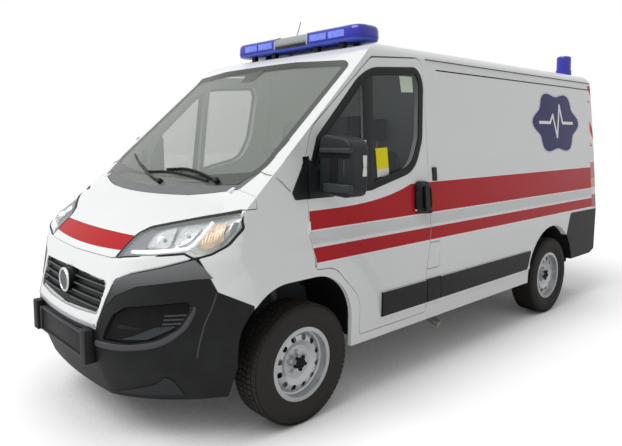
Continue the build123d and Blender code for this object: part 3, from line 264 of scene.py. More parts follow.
def side_films_on(paint, colour, x, y, z):
    """Stripes, corner marks and badge, on faces that look outwards only"""
    plain, flank = colour, abs(x) > FLANK_X
    rest = 1 - ((DIP_END - y) / DIP_LENGTH).clamped()
    top = STRIPE_HIGH[1] - DIP * (1 - rest * rest * rest)
    on_side = stripe_masks(z, top, (y > STRIPE_START) * flank)
    on_back = stripe_masks(z, STRIPE_HIGH[1], y > REAR_Y)
    red, edge = (one.most(other) for one, other in zip(on_side, on_back))
    # painted shade: the crease between the stripes is darkened towards D5D8D9
    groove = z.within(*GROOVE) * (y > STRIPE_START) * flank
    colour = paint.mix(groove * 0.55, colour, "D5D8D9")
    colour = paint.mix(edge, colour, FILM_WHITE)
    cells = paint.node("TexVoronoi", {"feature": "DISTANCE_TO_EDGE"}, Vector=paint.place(),
                       Scale=420.0)
    colour = paint.mix(red, colour, paint.mix(cells.soft(0.10, 0.2) * 0.25, "B81A26", RED))
    slant = ((y + z * MARK_SLANT) / MARK_PITCH) % 1
    corner = (z.within(*MARK_LEVELS[0]) + z.within(*MARK_LEVELS[1])) * y.within(*MARK_Y) * flank
    colour = paint.mix(corner, colour, FILM_WHITE)
    colour = paint.mix(corner * (slant > 0.5), colour, RED)
    colour = badge_on(paint, colour, y, z, (z > BADGE_LOW) * flank)
    facing = paint.node("TexCoord", out=1)
    sideways = paint.node("SeparateXYZ", Vector=facing)
    backwards = paint.node("SeparateXYZ", out=1, Vector=facing)
    outside = (sideways * x > OUTWARD_SIDE).most(backwards > OUTWARD_REAR)
    colour = paint.mix(outside, plain, colour)
    sail = z.within(*SAIL_Z) * y.within(*SAIL_Y) * (abs(x) > SAIL_X)
    return paint.mix(sail, colour, "0C0D0E")


# %% The paint of roof, sides and hood
def body_paint(name, hood=False, side=False):
    shine = HOOD_SHINE if hood else BODY_SHINE
    paint = Finish(name, BODY_WHITE, 0.32, Specular_IOR_Level=shine, Coat_Weight=0.5 * shine,
                   Coat_Roughness=0.06)
    x, y, z = paint.at()
    dust = paint.noise(3.0, detail=4.0)
    colour = paint.mix(dust * 0.5, BODY_WHITE, "F1F3F3")
    if side:
        colour = side_films_on(paint, colour, x, y, z)
    if hood:
        colour = hood_band_on(paint, colour, x, y)
    paint.feed("Base Color", colour)
    paint.feed("Roughness", 0.28 + dust * 0.10)
    height = paint.noise(260.0, detail=1.0) * 0.04
    from_hub = (y * y + (z - ARCH_Z) * (z - ARCH_Z)).root()
    flare = ((from_hub - FLARE[0]) / (FLARE[1] - FLARE[0])).clamped()
    height = height - flare * (z > ARCH_FOOT) * (abs(x) > FLANK_X) * FLARE_DEPTH
    if side:
        pressed = ((z - SWAGE[0]) / (SWAGE[1] - SWAGE[0])).clamped()
        height = height + pressed * (y > PANEL_Y) * (abs(x) > FLANK_X) * SWAGE_DEPTH
    paint.bump(height, 1.0, 0.0004)
    return paint.material


PAINT = body_paint("white_body_paint")
PAINT_SIDE = body_paint("white_side_paint", side=True)
PAINT_HOOD = body_paint("white_hood_paint", hood=True)
print("body paints:", PAINT.name, PAINT_SIDE.name, PAINT_HOOD.name)

# %% [markdown]
# ## The other finishes
# Moulded plastic has a fine grain, so it never mirrors sharply. Rubber is rougher still. Glass
# is thin here, so it is made see-through with Alpha and keeps its shine, which also survives an
# export. Metal gets its look from roughness that changes a little from place to place.

# %% Plastics, rubber, glass and metal
def grained(name, colour, roughness, grain=0.25, scale=700.0, worn="8A8D90"):
    """Moulded plastic: a fine pebble grain and a faint change of shade"""
    finish = Finish(name, colour, roughness, Specular_IOR_Level=0.25)
    shade = finish.noise(6.0, detail=4.0)
    pebble = finish.node("TexVoronoi", Vector=finish.place(), Scale=scale)
    finish.feed("Base Color", finish.mix((shade - 0.45).clamped() * 0.12, colour, worn))
    finish.feed("Roughness", roughness - 0.08 + shade * 0.16)
    finish.bump(pebble, grain, 0.0004)
    return finish.material


def metal(name, colour, roughness, metallic=1.0):
    """Bright or satin metal, a little rougher in some places than in others"""
    finish = Finish(name, colour, roughness, Metallic=metallic)
    shade = finish.noise(14.0, detail=4.0)
    finish.feed("Roughness", roughness - 0.06 + shade * 0.12)
    finish.feed("Base Color", finish.mix(shade * 0.25, colour, "7F8386"))
    finish.bump(finish.noise(300.0), 0.05, 0.0003)
    return finish.material


def clear(name, colour, alpha, roughness=0.03, **sockets):
    """Thin glass or lens: see-through by Alpha, so it keeps its shine"""
    finish = Finish(name, colour, roughness, Alpha=alpha, **sockets)
    haze = finish.noise(2.0, detail=3.0)
    finish.feed("Roughness", roughness + haze * 0.03)
    return finish.material


BUMPER_BLACK = grained("bumper_plastic", "151617", 0.50)
MIRROR_BLACK = grained("mirror_plastic", "212527", 0.42, grain=0.15)
TRIM_BLACK = grained("trim_plastic", "0C0D0E", 0.45)
COWL_GREY = grained("cowl_plastic", "77797A", 0.55)
# a paler copy of the bumper's black plastic for ridges and edges that catch the light: painted
# highlight
HIGHLIGHT_GREY = grained("bumper_highlight_plastic", "4A4A4E", 0.48, grain=0.15)
CABIN_GREY = grained("cabin_plastic", "3A3D41", 0.60)
CABIN_PALE = grained("cabin_trim", "C9CCCA", 0.70, worn="B4B7B5")
RUBBER = grained("seal_rubber", "111213", 0.55, grain=0.10)
# dark felt for the arch liners and dark lines; on the field's top line it is painted shade
DARK_FELT_AND_SHADE = grained("dark_felt_and_painted_shade", "161718", 0.90, grain=0.5, scale=250.0)
TYRE_RUBBER = grained("tyre_rubber", "33312E", 0.78, grain=0.2, scale=400.0, worn="4A4843")
CHASSIS = grained("chassis_coat", "1A1B1C", 0.55, grain=0.3, scale=150.0, worn="4A4642")
RIM_SILVER = metal("wheel_silver", "C9CBCD", 0.33, metallic=0.55)
RIM_DARK = metal("wheel_shade", "55585B", 0.50, metallic=0.5)
CHROME = metal("bright_reflector", "E8EAEC", 0.12)
SATIN_SILVER = metal("satin_silver", "B9BCBF", 0.38, metallic=0.7)
BAR_SILVER = grained("bar_silver", "A9ACB0", 0.35, grain=0.05, worn="C5C8CB")
CAST_IRON = metal("cast_metal", "5C5A57", 0.62, metallic=0.6)
PIPE_STEEL = metal("exhaust_steel", "C9C4B8", 0.45, metallic=0.3)
SCREEN_GLASS = clear("windscreen_glass", "A9B1A9", 0.36, Coat_Weight=0.1)
DOOR_GLASS = clear("door_glass", "3E484C", 0.26)
DARK_GLASS = clear("privacy_glass", "14181B", 0.85)
LAMP_CLEAR = clear("lamp_cover", "F4F8FA", 0.13, Coat_Weight=0.5)
BLUE_LENS = clear("blue_lens", "1B24B8", 0.93, 0.10, Coat_Weight=0.3)
RED_LENS = clear("tail_lens", "B3121C", 0.92, 0.08, Coat_Weight=0.5)
# a paler copy of the black plastic for ledges, ridges and slopes that catch the light: painted
# highlight
RIDGE_HIGHLIGHT = grained("mirror_ridge", "343A3D", 0.42, grain=0.15)
# near-black for plates and boxes set where hollows, gaps and bores lie in shade: painted shade
SHADE_BLACK = grained("painted_shade_black", "050506", 0.80, grain=0.1)
MIRROR_GLASS = metal("mirror_glass", "D9DEE0", 0.05)
SCREEN_PRINT = clear("screen_print", "4A4D49", 0.90, 0.25)
BAR_TRAY_BLUE = grained("bar_tray_blue", "4A5CC0", 0.30, grain=0.05)
BLUE_DOME = grained("blue_dome", "231DB4", 0.35, grain=0.05)
CARD_WHITE = grained("card_white", "F4F6EE", 0.60, grain=0.02)
CARD_YELLOW = grained("card_yellow", "FFF01E", 0.60, grain=0.02)
CARD_GREEN = grained("card_green", "DDEBD8", 0.60, grain=0.02)
REFLEX_RED = clear("reflector_red", "C01822", 0.95, 0.15)
print("plain finishes:", len(bpy.data.materials))

# %% Lenses, lit modules and cloth
TAIL_ZONES = ((1.020, "E9ECEC"), (1.105, "E8811A"), (1.190, "A8111B"))   # above the dark red foot
TAIL_SEAM = 0.003


def tail_lens():
    """The tail lamp's zones, one above the other, with fine upright ribs"""
    lens = Finish("tail_lens_zones", "B3121C", 0.10, Coat_Weight=0.4)
    x, y, z = lens.at()
    colour, seam = "9E0F18", 0
    for level, shade in TAIL_ZONES:
        colour = lens.mix(z > level, colour, shade)
        seam = z.within(level - TAIL_SEAM, level + TAIL_SEAM) + seam
    lens.feed("Base Color", lens.mix(seam.least(1), colour, "1A1B1C"))
    lens.bump(((x + y) * 700).sine(), 0.3, 0.0008)
    return lens.material


TAIL_LENS = tail_lens()


def glowing(name, colour, strength):
    """A lit part that gives off some light of its own colour"""
    finish = Finish(name, colour, 0.25, Emission_Strength=strength)
    finish.shader.inputs["Emission Color"].default_value = paint_value(colour)
    shade = finish.noise(60.0)
    finish.feed("Base Color", finish.mix(shade * 0.4, colour, "FFFFFF"))
    return finish.material


BLUE_MODULE = glowing("blue_module", "2556E6", 0.22)


def woven_cloth(name, first, second):
    """Fine cloth: two crossed waves make the over and under of the weave"""
    cloth = Finish(name, first, 0.88)
    x, y, z = cloth.at()
    warp = ((x + z * 0.3) * 2200).sine()
    weft = ((y + z) * 2200).sine()
    weave = warp * weft * 0.5 + 0.5
    fleck = cloth.noise(240.0, detail=3.0)
    cloth.feed("Base Color", cloth.mix((weave * 0.6 + fleck * 0.4).clamped(), first, second))
    cloth.bump(weave, 0.5, 0.0006)
    return cloth.material


SEAT_CLOTH = woven_cloth("seat_cloth", "2C3036", "4B5159")
SEAT_SIDE = woven_cloth("seat_side_cloth", "202327", "34383D")
print("finishes:", len(bpy.data.materials))

# %% [markdown]
# ## From a solid to a panel
# A solid comes as loose triangles, which shade in flat facets. A copy is merged, its crisp
# edges are marked by angle and a narrow bevel is laid along them, because pressed steel and
# moulded plastic never have knife edges. Weighted normals keep the flat faces flat.


def new_piece(name, mesh, *materials, body="body"):
    """A mesh in the scene, with its finish and the body it rides on"""
    mesh.name = name
    piece = bpy.data.objects.new(name, mesh)
    bpy.context.scene.collection.objects.link(piece)
    for one in materials:
        mesh.materials.append(one)
    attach(piece, body)
    return piece


def body_of(node):
    return NODES[node]["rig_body"]


def mark_crisp(work, angle):
    """Smooth shading everywhere but across edges sharper than the angle, in degrees"""
    for edge in work.edges:
        edge.smooth = len(edge.link_faces) == 2 and edge.calc_face_angle(0) <= math.radians(angle)
    for face in work.faces:
        face.smooth = True


def panel(name, node, material, bevel, angle=32, segments=2):
    """A smoothed copy of a solid that stands for it"""
    mesh = NODES[node].data.copy()
    mesh.materials.clear()
    work = bmesh.new()
    work.from_mesh(mesh)
    bmesh.ops.remove_doubles(work, verts=work.verts, dist=2e-5)
    bmesh.ops.dissolve_degenerate(work, edges=work.edges, dist=1e-5)
    mark_crisp(work, angle)
    work.to_mesh(mesh)
    work.free()
    piece = new_piece(name, mesh, material, body=body_of(node))
    round_off = piece.modifiers.new("rounded edges", "BEVEL")
    round_off.width = bevel
    round_off.segments = segments
    round_off.limit_method = "ANGLE"
    round_off.angle_limit = math.radians(angle)
    round_off.harden_normals = True
    even = piece.modifiers.new("even shading", "WEIGHTED_NORMAL")
    even.keep_sharp = True
    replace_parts(piece, node)
    return piece


def repaint(node, material):
    """A solid whose shape is right keeps its mesh and takes a better finish"""
    mesh = NODES[node].data
    mesh.materials.clear()
    mesh.materials.append(material)


# %% [markdown]
# ## Outer panels
# Roof, sides, doors, hood and fenders are pressed steel. Their solids were cut from one outer
# form, so copies of them meet as they should, with the same narrow gaps.

# %% Painted panels
NARROW_BEVEL, BROAD_BEVEL = 0.0022, 0.014     # the broad one rounds the roof's rim and the pillars
for node, finish in {
    "roof": PAINT, "side_panel_left": PAINT_SIDE, "side_panel_right": PAINT_SIDE,
    "sliding_door": PAINT_SIDE, "hood": PAINT_HOOD, "fender_left": PAINT, "fender_right": PAINT,
    "cab_door_left": PAINT_SIDE, "cab_door_right": PAINT_SIDE, "cab_frame": PAINT_SIDE,
    "fuel_flap": PAINT_SIDE, "rear_door_left": PAINT_SIDE, "rear_door_right": PAINT_SIDE,
}.items():
    broad = node in ("roof", "cab_frame")
    panel("painted_" + node, node, finish, BROAD_BEVEL if broad else NARROW_BEVEL,
          segments=4 if broad else 2)

# %% Black and grey plastic parts
for node, finish, bevel in (
    ("front_bumper", BUMPER_BLACK, 0.004), ("rear_bumper", BUMPER_BLACK, 0.004),
    ("cowl", COWL_GREY, 0.002), ("mirror_left", MIRROR_BLACK, 0.003),
    ("mirror_right", MIRROR_BLACK, 0.003), ("mirror_corners", TRIM_BLACK, 0.001),
    ("grille_surround", PAINT, 0.003), ("grille", TRIM_BLACK, 0.001),
    ("dashboard", CABIN_GREY, 0.004),
):
    panel("shaped_" + node, node, finish, bevel)

# %% Finishes on solids that keep their shape
for node, finish in {
    "windscreen": SCREEN_GLASS, "cab_glass_left": DOOR_GLASS, "cab_glass_right": DOOR_GLASS,
    "rear_glass_left": DARK_GLASS, "rear_glass_right": DARK_GLASS, "sliding_door_glass": DARK_GLASS,
    "headlamps": CHROME, "tail_lamps": TAIL_LENS, "light_bar_lenses": BLUE_LENS,
    "rear_beacon": BLUE_LENS, "antenna": TRIM_BLACK, "wipers": TRIM_BLACK,
    "chassis_rails": CHASSIS, "arch_liners": DARK_FELT_AND_SHADE, "floor": CABIN_GREY, "firewall": CHASSIS,
    "bulkhead": CABIN_PALE, "front_subframe": CHASSIS, "knuckle_left": CAST_IRON,
    "knuckle_right": CAST_IRON, "rear_axle": CHASSIS, "leaf_springs": CHASSIS,
    "engine_block": CAST_IRON, "exhaust": PIPE_STEEL, "fuel_tank": TRIM_BLACK,
    "steering_wheel": CABIN_GREY, "seats": SEAT_CLOTH,
    "rim_front_left": RIM_SILVER, "rim_front_right": RIM_SILVER,
    "rim_rear_left": RIM_SILVER, "rim_rear_right": RIM_SILVER,
    "tyre_front_left": TYRE_RUBBER, "tyre_front_right": TYRE_RUBBER,
    "tyre_rear_left": TYRE_RUBBER, "tyre_rear_right": TYRE_RUBBER,
}.items():
    repaint(node, finish)

# %% [markdown]
# ## Rules that repeat a shape
# A tyre's tread blocks and shoulder ribs are one small shape repeated round a circle. Geometry
# Nodes do that best: the rule is built once, with its count and radius as named inputs, and each
# use turns into a plain mesh, because instances would be lost when the van is exported.

# %% Geometry Nodes: copies round a ring
class Rule:
    """A small Geometry Nodes tree with named sizes"""

    def __init__(self, name, **sizes):
        self.tree = bpy.data.node_groups.new(name, "GeometryNodeTree")
        face = self.tree.interface
        face.new_socket("Shape", in_out="INPUT", socket_type="NodeSocketGeometry")
        self.ids = {}
        for size, kind in {**sizes, "Finish": "Material"}.items():
            self.ids[size] = face.new_socket(size, in_out="INPUT",
                                             socket_type="NodeSocket" + kind).identifier
        face.new_socket("Shape", in_out="OUTPUT", socket_type="NodeSocketGeometry")
        self.inlet = self.tree.nodes.new("NodeGroupInput")
        self.outlet = self.tree.nodes.new("NodeGroupOutput")

    def node(self, kind, settings=None, **sockets):
        node = self.tree.nodes.new(kind)
        for setting, value in (settings or {}).items():
            setattr(node, setting, value)
        for name, value in sockets.items():
            entry = node.inputs[name.replace("_", " ")]
            if isinstance(value, bpy.types.NodeSocket):
                self.tree.links.new(value, entry)
            else:
                entry.default_value = value
        return node

    def end_with(self, instances):
        whole = self.node("GeometryNodeRealizeInstances", Geometry=instances)
        coated = self.node("GeometryNodeSetMaterial", Geometry=whole.outputs[0],
                           Material=self.inlet.outputs["Finish"])
        self.tree.links.new(coated.outputs[0], self.outlet.inputs[0])
        return self


def ring_rule():
    """Copies of a shape round a circle in the XY plane, each turned with its place"""
    rule = Rule("ring", Count="Int", Radius="Float")
    count = rule.inlet.outputs["Count"]
    circle = rule.node("GeometryNodeMeshCircle", Vertices=count,
                       Radius=rule.inlet.outputs["Radius"])
    index = rule.node("GeometryNodeInputIndex").outputs[0]
    share = rule.node("ShaderNodeMath", {"operation": "DIVIDE"})
    rule.tree.links.new(index, share.inputs[0])
    rule.tree.links.new(count, share.inputs[1])
    turn = rule.node("ShaderNodeMath", {"operation": "MULTIPLY"})
    rule.tree.links.new(share.outputs[0], turn.inputs[0])
    turn.inputs[1].default_value = math.tau
    spin = rule.node("ShaderNodeCombineXYZ", Z=turn.outputs[0])
    copies = rule.node("GeometryNodeInstanceOnPoints", Points=circle.outputs[0],
                       Instance=rule.inlet.outputs["Shape"], Rotation=spin.outputs[0])
    return rule.end_with(copies.outputs[0])


RING = ring_rule()


def grown(rule, shape, material, **sizes):
    """Runs a rule on a shape and gives back a plain mesh"""
    host = bpy.data.objects.new("host", shape)
    bpy.context.scene.collection.objects.link(host)
    modifier = host.modifiers.new("rule", "NODES")
    modifier.node_group = rule.tree
    for size, value in {**sizes, "Finish": material}.items():
        modifier[rule.ids[size]] = value
    graph = bpy.context.evaluated_depsgraph_get()
    mesh = bpy.data.meshes.new_from_object(host.evaluated_get(graph), depsgraph=graph)
    bpy.data.objects.remove(host)
    mesh.materials.clear()
    return mesh


def quads(n, rows, closed=False):
    """Faces between neighbouring rows of n points, and from the last row to the first if closed"""
    return [(k * n + i, k * n + (i + 1) % n, (k + 1) % rows * n + (i + 1) % n,
             (k + 1) % rows * n + i) for k in range(rows if closed else rows - 1) for i in range(n)]


def mesh_of(points, faces, smooth=35):
    """A mesh with its faces outwards and its crisp edges marked"""
    mesh = bpy.data.meshes.new("shape")
    mesh.from_pydata([tuple(p) for p in points], [], faces)
    work = bmesh.new()
    work.from_mesh(mesh)
    bmesh.ops.remove_doubles(work, verts=work.verts, dist=1e-6)
    bmesh.ops.recalc_face_normals(work, faces=work.faces)
    mark_crisp(work, smooth)
    work.to_mesh(mesh)
    work.free()
    return mesh


def turned(profile, steps=128, smooth=35):
    """Spins a closed outline of (across, radius) about the X axis"""
    turns = [math.tau * k / steps for k in range(steps)]
    points = [(across, radius * math.cos(turn), radius * math.sin(turn))
              for turn in turns for across, radius in profile]
    return mesh_of(points, quads(len(profile), steps, True), smooth)


def joined(meshes):
    """Several meshes as one"""
    work = bmesh.new()
    for mesh in meshes:
        work.from_mesh(mesh)
    mesh = bpy.data.meshes.new("shape")
    work.to_mesh(mesh)
    work.free()
    return mesh


def moved(mesh, matrix):
    """The mesh itself, moved or mirrored, with its faces still outwards"""
    mesh.transform(matrix)
    if matrix.determinant() < 0:
        mesh.flip_normals()
    return mesh


def placed(x, y, z):
    """A shift to a place counted from the front axle"""
    return Matrix.Translation((x, y + AXLE_Y, z))


print("rule:", RING.tree.name, "with inputs", list(RING.ids))

# %% [markdown]
# ## Wheels
# A van tyre has a nearly flat tread with straight grooves, a rounded shoulder and a side wall
# that bulges past the rim. The carcass is one spun outline. The tread is rows of small slanted
# blocks set round it by the ring rule, so its grooves are real and catch the shade.

# %% Tyres
TYRE_R = 0.341                     # over the tread
TREAD_BASE = 0.3335                # bottom of the grooves
TREAD_COUNT = 66                   # blocks in one row
BLOCK_LENGTH, BLOCK_WEAR = 0.0262, 0.0006
TREAD_ROWS = (
    (0.0, 0.030, 0.004, 0.0), (0.0395, 0.032, -0.004, 0.0002), (0.0785, 0.024, 0.004, 0.0018))
WHEELS = {"front_left": (0.905, 0.0), "front_right": (-0.905, 0.0),
          "rear_left": (0.895, REAR_AXLE), "rear_right": (-0.895, REAR_AXLE)}


def carcass():
    """The tyre without its tread, spun from the outline of one half"""
    half = [(0.000, TREAD_BASE), (0.060, TREAD_BASE - 0.0005), (0.086, 0.3300), (0.0945, 0.3240),
            (0.0985, 0.3160), (0.1010, 0.3150), (0.1035, 0.3050), (0.1060, 0.2900),
            (0.1072, 0.2760), (0.1070, 0.2640), (0.1078, 0.2625), (0.1074, 0.2605),
            (0.1060, 0.2590), (0.1035, 0.2450), (0.1030, 0.2425), (0.1010, 0.2405),
            (0.0990, 0.2320), (0.0975, 0.2300), (0.0978, 0.2270), (0.0950, 0.2190),
            (0.0925, 0.2130), (0.0880, 0.2085), (0.0790, 0.2040)]
    outline = half + [(-across, radius) for across, radius in reversed(half[1:])]
    return turned(outline, 144, 40)


def tread_block(across, width, slant, high):
    """One block, standing on the ring's X direction, with its long side along Y"""
    points = []
    for height, trim in ((-0.002, 0.0), (high - 0.0015, 0.0), (high, 0.0014)):
        for sx, sy in ((-1, -1), (1, -1), (1, 1), (-1, 1)):
            points.append((height, sy * (BLOCK_LENGTH / 2 - trim) + slant * sx,
                           across + sx * (width / 2 - trim)))
    return mesh_of(points, [(0, 3, 2, 1), (8, 9, 10, 11)] + quads(4, 3), 20)


def tread():
    """Five rows of blocks: the middle one and two on each side of it"""
    rows = []
    for row in (-2, -1, 0, 1, 2):
        across, width, slant, drop = TREAD_ROWS[abs(row)]
        high = TYRE_R - BLOCK_WEAR - drop - TREAD_BASE
        block = tread_block(-across if row < 0 else across, width, slant, high)
        rows.append(grown(RING, block, TYRE_RUBBER, Count=TREAD_COUNT, Radius=TREAD_BASE))
    return moved(joined(rows), Matrix.Rotation(math.pi / 2, 4, "Y"))


def shoulder_ribs():
    """Short radial ribs on the shoulder, as on most van tyres"""
    points = []
    for radius, across in ((-0.030, 0.1030), (0.0, 0.0935)):
        points += [(radius, -0.006, across), (radius, 0.006, across),
                   (radius, 0.0045, across + 0.0035), (radius, -0.0045, across + 0.0035)]
    rib = mesh_of(points, [(0, 1, 2, 3), (4, 7, 6, 5)] + quads(4, 2), 20)
    ring = grown(RING, rib, TYRE_RUBBER, Count=TREAD_COUNT, Radius=0.326)
    other = moved(ring.copy(), Matrix.Scale(-1, 4, (0, 0, 1)))
    return moved(joined([ring, other]), Matrix.Rotation(math.pi / 2, 4, "Y"))


tyre_shape = joined([carcass(), tread(), shoulder_ribs()])
for wheel, (x, y) in WHEELS.items():
    mesh = moved(tyre_shape.copy(), placed(x, y, TYRE_R))
    tyre = new_piece("grooved_tyre_" + wheel, mesh, TYRE_RUBBER, body=body_of("tyre_" + wheel))
    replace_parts(tyre, "tyre_" + wheel)
    panel("painted_rim_" + wheel, "rim_" + wheel, RIM_SILVER, bevel=0.0012, angle=38)
print("tyre triangles:", len(tyre_shape.polygons) * 2)

# %% [markdown]
# ## Laying things on the bodywork
# Seals, strips, lamps and cards follow the curved panels. Their outlines are drawn flat, as seen
# from one side, and every point is then dropped onto the solids below, so a piece always lies on
# what carries it. Two helpers do this: one sweeps a narrow section along a line, the other
# lays a thin plate of any outline.

# %% Surface helpers
def drop_axes(view):
    """From a flat point to a ray: where it starts and which way it goes"""
    return {
        "left": lambda u, v: (Vector((3, u + AXLE_Y, v)), Vector((-1, 0, 0))),
        "right": lambda u, v: (Vector((-3, u + AXLE_Y, v)), Vector((1, 0, 0))),
        "front": lambda u, v: (Vector((u, -4, v)), Vector((0, 1, 0))),
        "rear": lambda u, v: (Vector((u, 5, v)), Vector((0, -1, 0))),
        "top": lambda u, v: (Vector((u, v + AXLE_Y, 4)), Vector((0, 0, -1))),
    }[view]


@lru_cache(maxsize=None)
def tree_of(nodes):
    points, faces = [], []
    for node in nodes:
        mesh = bpy.data.objects[node].data if node in bpy.data.objects else NODES[node].data
        start = len(points)
        points += [vertex.co.copy() for vertex in mesh.vertices]
        faces += [[start + v for v in face.vertices] for face in mesh.polygons]
    return BVHTree.FromPolygons(points, faces)


class Skin:
    """The outer surface of some solids, as seen from one side"""

    def __init__(self, view, *nodes, deepest=0.08):
        self.view, self.ray = view, drop_axes(view)
        self.tree, self.deepest = tree_of(nodes), deepest
        self.last = None

    def under(self, u, v):
        start, way = self.ray(u, v)
        place, normal, _, far = self.tree.ray_cast(start, way)
        lost = place is None or (self.last is not None and far - self.last > self.deepest)
        if lost and self.last is not None:
            guess = start + way * self.last
            place, normal, _, _ = self.tree.find_nearest(guess)
            far = (place - start).dot(way)
            place = start + way * far
        if place is None:
            raise ValueError("nothing under %s %s in %s" % (u, v, self.view))
        self.last = far
        if normal.dot(way) > 0:
            normal = -normal
        return place, normal


class Blanket:
    """A smooth surface laid over several solids, with the gaps between them bridged"""

    def __init__(self, view, nodes, across, up, step=0.01):
        self.ray, self.step, self.low = drop_axes(view), step, (across[0], up[0])
        tree, self.depths = tree_of(nodes), []
        for j in range(round((up[1] - up[0]) / step) + 1):
            row = [tree.ray_cast(*self.ray(across[0] + i * step, up[0] + j * step))[3]
                   for i in range(round((across[1] - across[0]) / step) + 1)]
            self.depths.append(self.filled(row))
        known = [j for j, row in enumerate(self.depths) if row]
        self.depths = [self.depths[min(known, key=lambda k: abs(k - j))]
                       for j in range(len(self.depths))]
        self.depths = self.filtered(2, lambda near: sorted(near)[len(near) // 2])
        for _ in range(2):
            self.depths = self.filtered(1, lambda near: sum(near) / len(near))

    @staticmethod
    def filled(row):
        """Carries a row on past its ends with the slope it has there"""
        hits = [i for i, far in enumerate(row) if far is not None]
        if len(hits) < 3:
            return None
        first, last = hits[0], hits[-1]
        for i in range(first, last):
            row[i] = row[i - 1] if row[i] is None else row[i]
        for i in range(last + 1, len(row)):
            row[i] = 2 * row[i - 1] - row[i - 2]
        for i in range(first - 1, -1, -1):
            row[i] = 2 * row[i + 1] - row[i + 2]
        return row

    def filtered(self, reach, pick):
        rows, count = self.depths, len(self.depths[0])
        return [[pick([rows[b][a] for b in range(max(0, j - reach), min(len(rows), j + reach + 1))
                       for a in range(max(0, i - reach), min(count, i + reach + 1))])
                 for i in range(count)] for j in range(len(rows))]

    def depth(self, u, v):
        a = min(max((u - self.low[0]) / self.step, 0), len(self.depths[0]) - 1.001)
        b = min(max((v - self.low[1]) / self.step, 0), len(self.depths) - 1.001)
        i, j = int(a), int(b)
        a, b, rows = a - i, b - j, self.depths
        return (rows[j][i] * (1 - a) + rows[j][i + 1] * a) * (1 - b) \
            + (rows[j + 1][i] * (1 - a) + rows[j + 1][i + 1] * a) * b

    def place(self, u, v):
        start, way = self.ray(u, v)
        return start + way * self.depth(u, v)

    def under(self, u, v):
        e, way = self.step * 0.7, self.ray(u, v)[1]
        across = self.place(u + e, v) - self.place(u - e, v)
        up = self.place(u, v + e) - self.place(u, v - e)
        normal = across.cross(up).normalized()
        return self.place(u, v), -normal if normal.dot(way) > 0 else normal


def rounded(corners, steps=7):
    """An outline from rows of (u, v, radius)"""
    points = []
    for k, (u, v, radius) in enumerate(corners):
        here = Vector((u, v))
        before = Vector(corners[k - 1][:2]) - here
        after = Vector(corners[(k + 1) % len(corners)][:2]) - here
        if radius < 1e-6:
            points.append(here)
            continue
        half = before.angle(after) / 2
        reach = min(radius / math.tan(half), 0.48 * before.length, 0.48 * after.length)
        a, b = here + before.normalized() * reach, here + after.normalized() * reach
        for i in range(steps + 1):
            t = i / steps
            points.append(a * (1 - t) ** 2 + here * 2 * t * (1 - t) + b * t * t)
    return points


def flowing(points, parts=8):
    """A smooth line through the given points"""
    p = [Vector(q) for q in points]
    p = [2 * p[0] - p[1]] + p + [2 * p[-1] - p[-2]]
    line = []
    for a, b, c, d in zip(p, p[1:], p[2:], p[3:]):
        for i in range(parts):
            t = i / parts
            even = 2 * b + (c - a) * t + (2 * a - 5 * b + 4 * c - d) * t * t
            line.append(0.5 * (even + (3 * b - a - 3 * c + d) * t ** 3))
    return line + [p[-2]]


def spaced(points, step, closed):
    """The same line with a point every step or so"""
    line = []
    pairs = list(zip(points, points[1:] + points[:1])) if closed else list(zip(points, points[1:]))
    for a, b in pairs:
        count = max(1, round((b - a).length / step))
        line += [a.lerp(b, i / count) for i in range(count)]
    return line if closed else line + [points[-1]]


def swept(centres, sides, outs, section, closed):
    """A section of (sideways, outwards) pairs carried along a line"""
    points, n = [], len(section)
    for centre, side, out in zip(centres, sides, outs):
        points += [centre + side * a + out * b for a, b in section]
    count = len(centres)
    faces = quads(n, count, closed)
    if not closed:
        faces += [tuple(range(n)), tuple(reversed(range((count - 1) * n, count * n)))]
    return mesh_of(points, faces)


def crown(width, height, sunk=0.002):
    """The section of a strip: flat below, gently domed above"""
    half = width / 2
    return [(-half, -sunk), (-half, height * 0.35), (-half * 0.72, height * 0.85), (0, height),
            (half * 0.72, height * 0.85), (half, height * 0.35), (half, -sunk)]


def strip(skin, line, section, closed=False, step=0.02, inset=0.0):
    """A strip along a flat line, lying on the skin; inset moves it to the left of the line"""
    flat = spaced([Vector(p) for p in line], step, closed)
    places, normals = zip(*(skin.under(p.x, p.y) for p in flat))
    count, centres, sides, outs = len(flat), [], [], []
    for k in range(count):
        before = places[k - 1] if closed or k else places[k]
        after = places[(k + 1) % count] if closed or k < count - 1 else places[k]
        along = (after - before).normalized()
        out = normals[k]
        side = out.cross(along).normalized()
        centres.append(places[k] + side * inset)
        sides.append(side)
        rise = side.cross(along).normalized()
        outs.append(rise if rise.dot(out) > 0 else -rise)
    return swept(centres, sides, outs, section, closed)


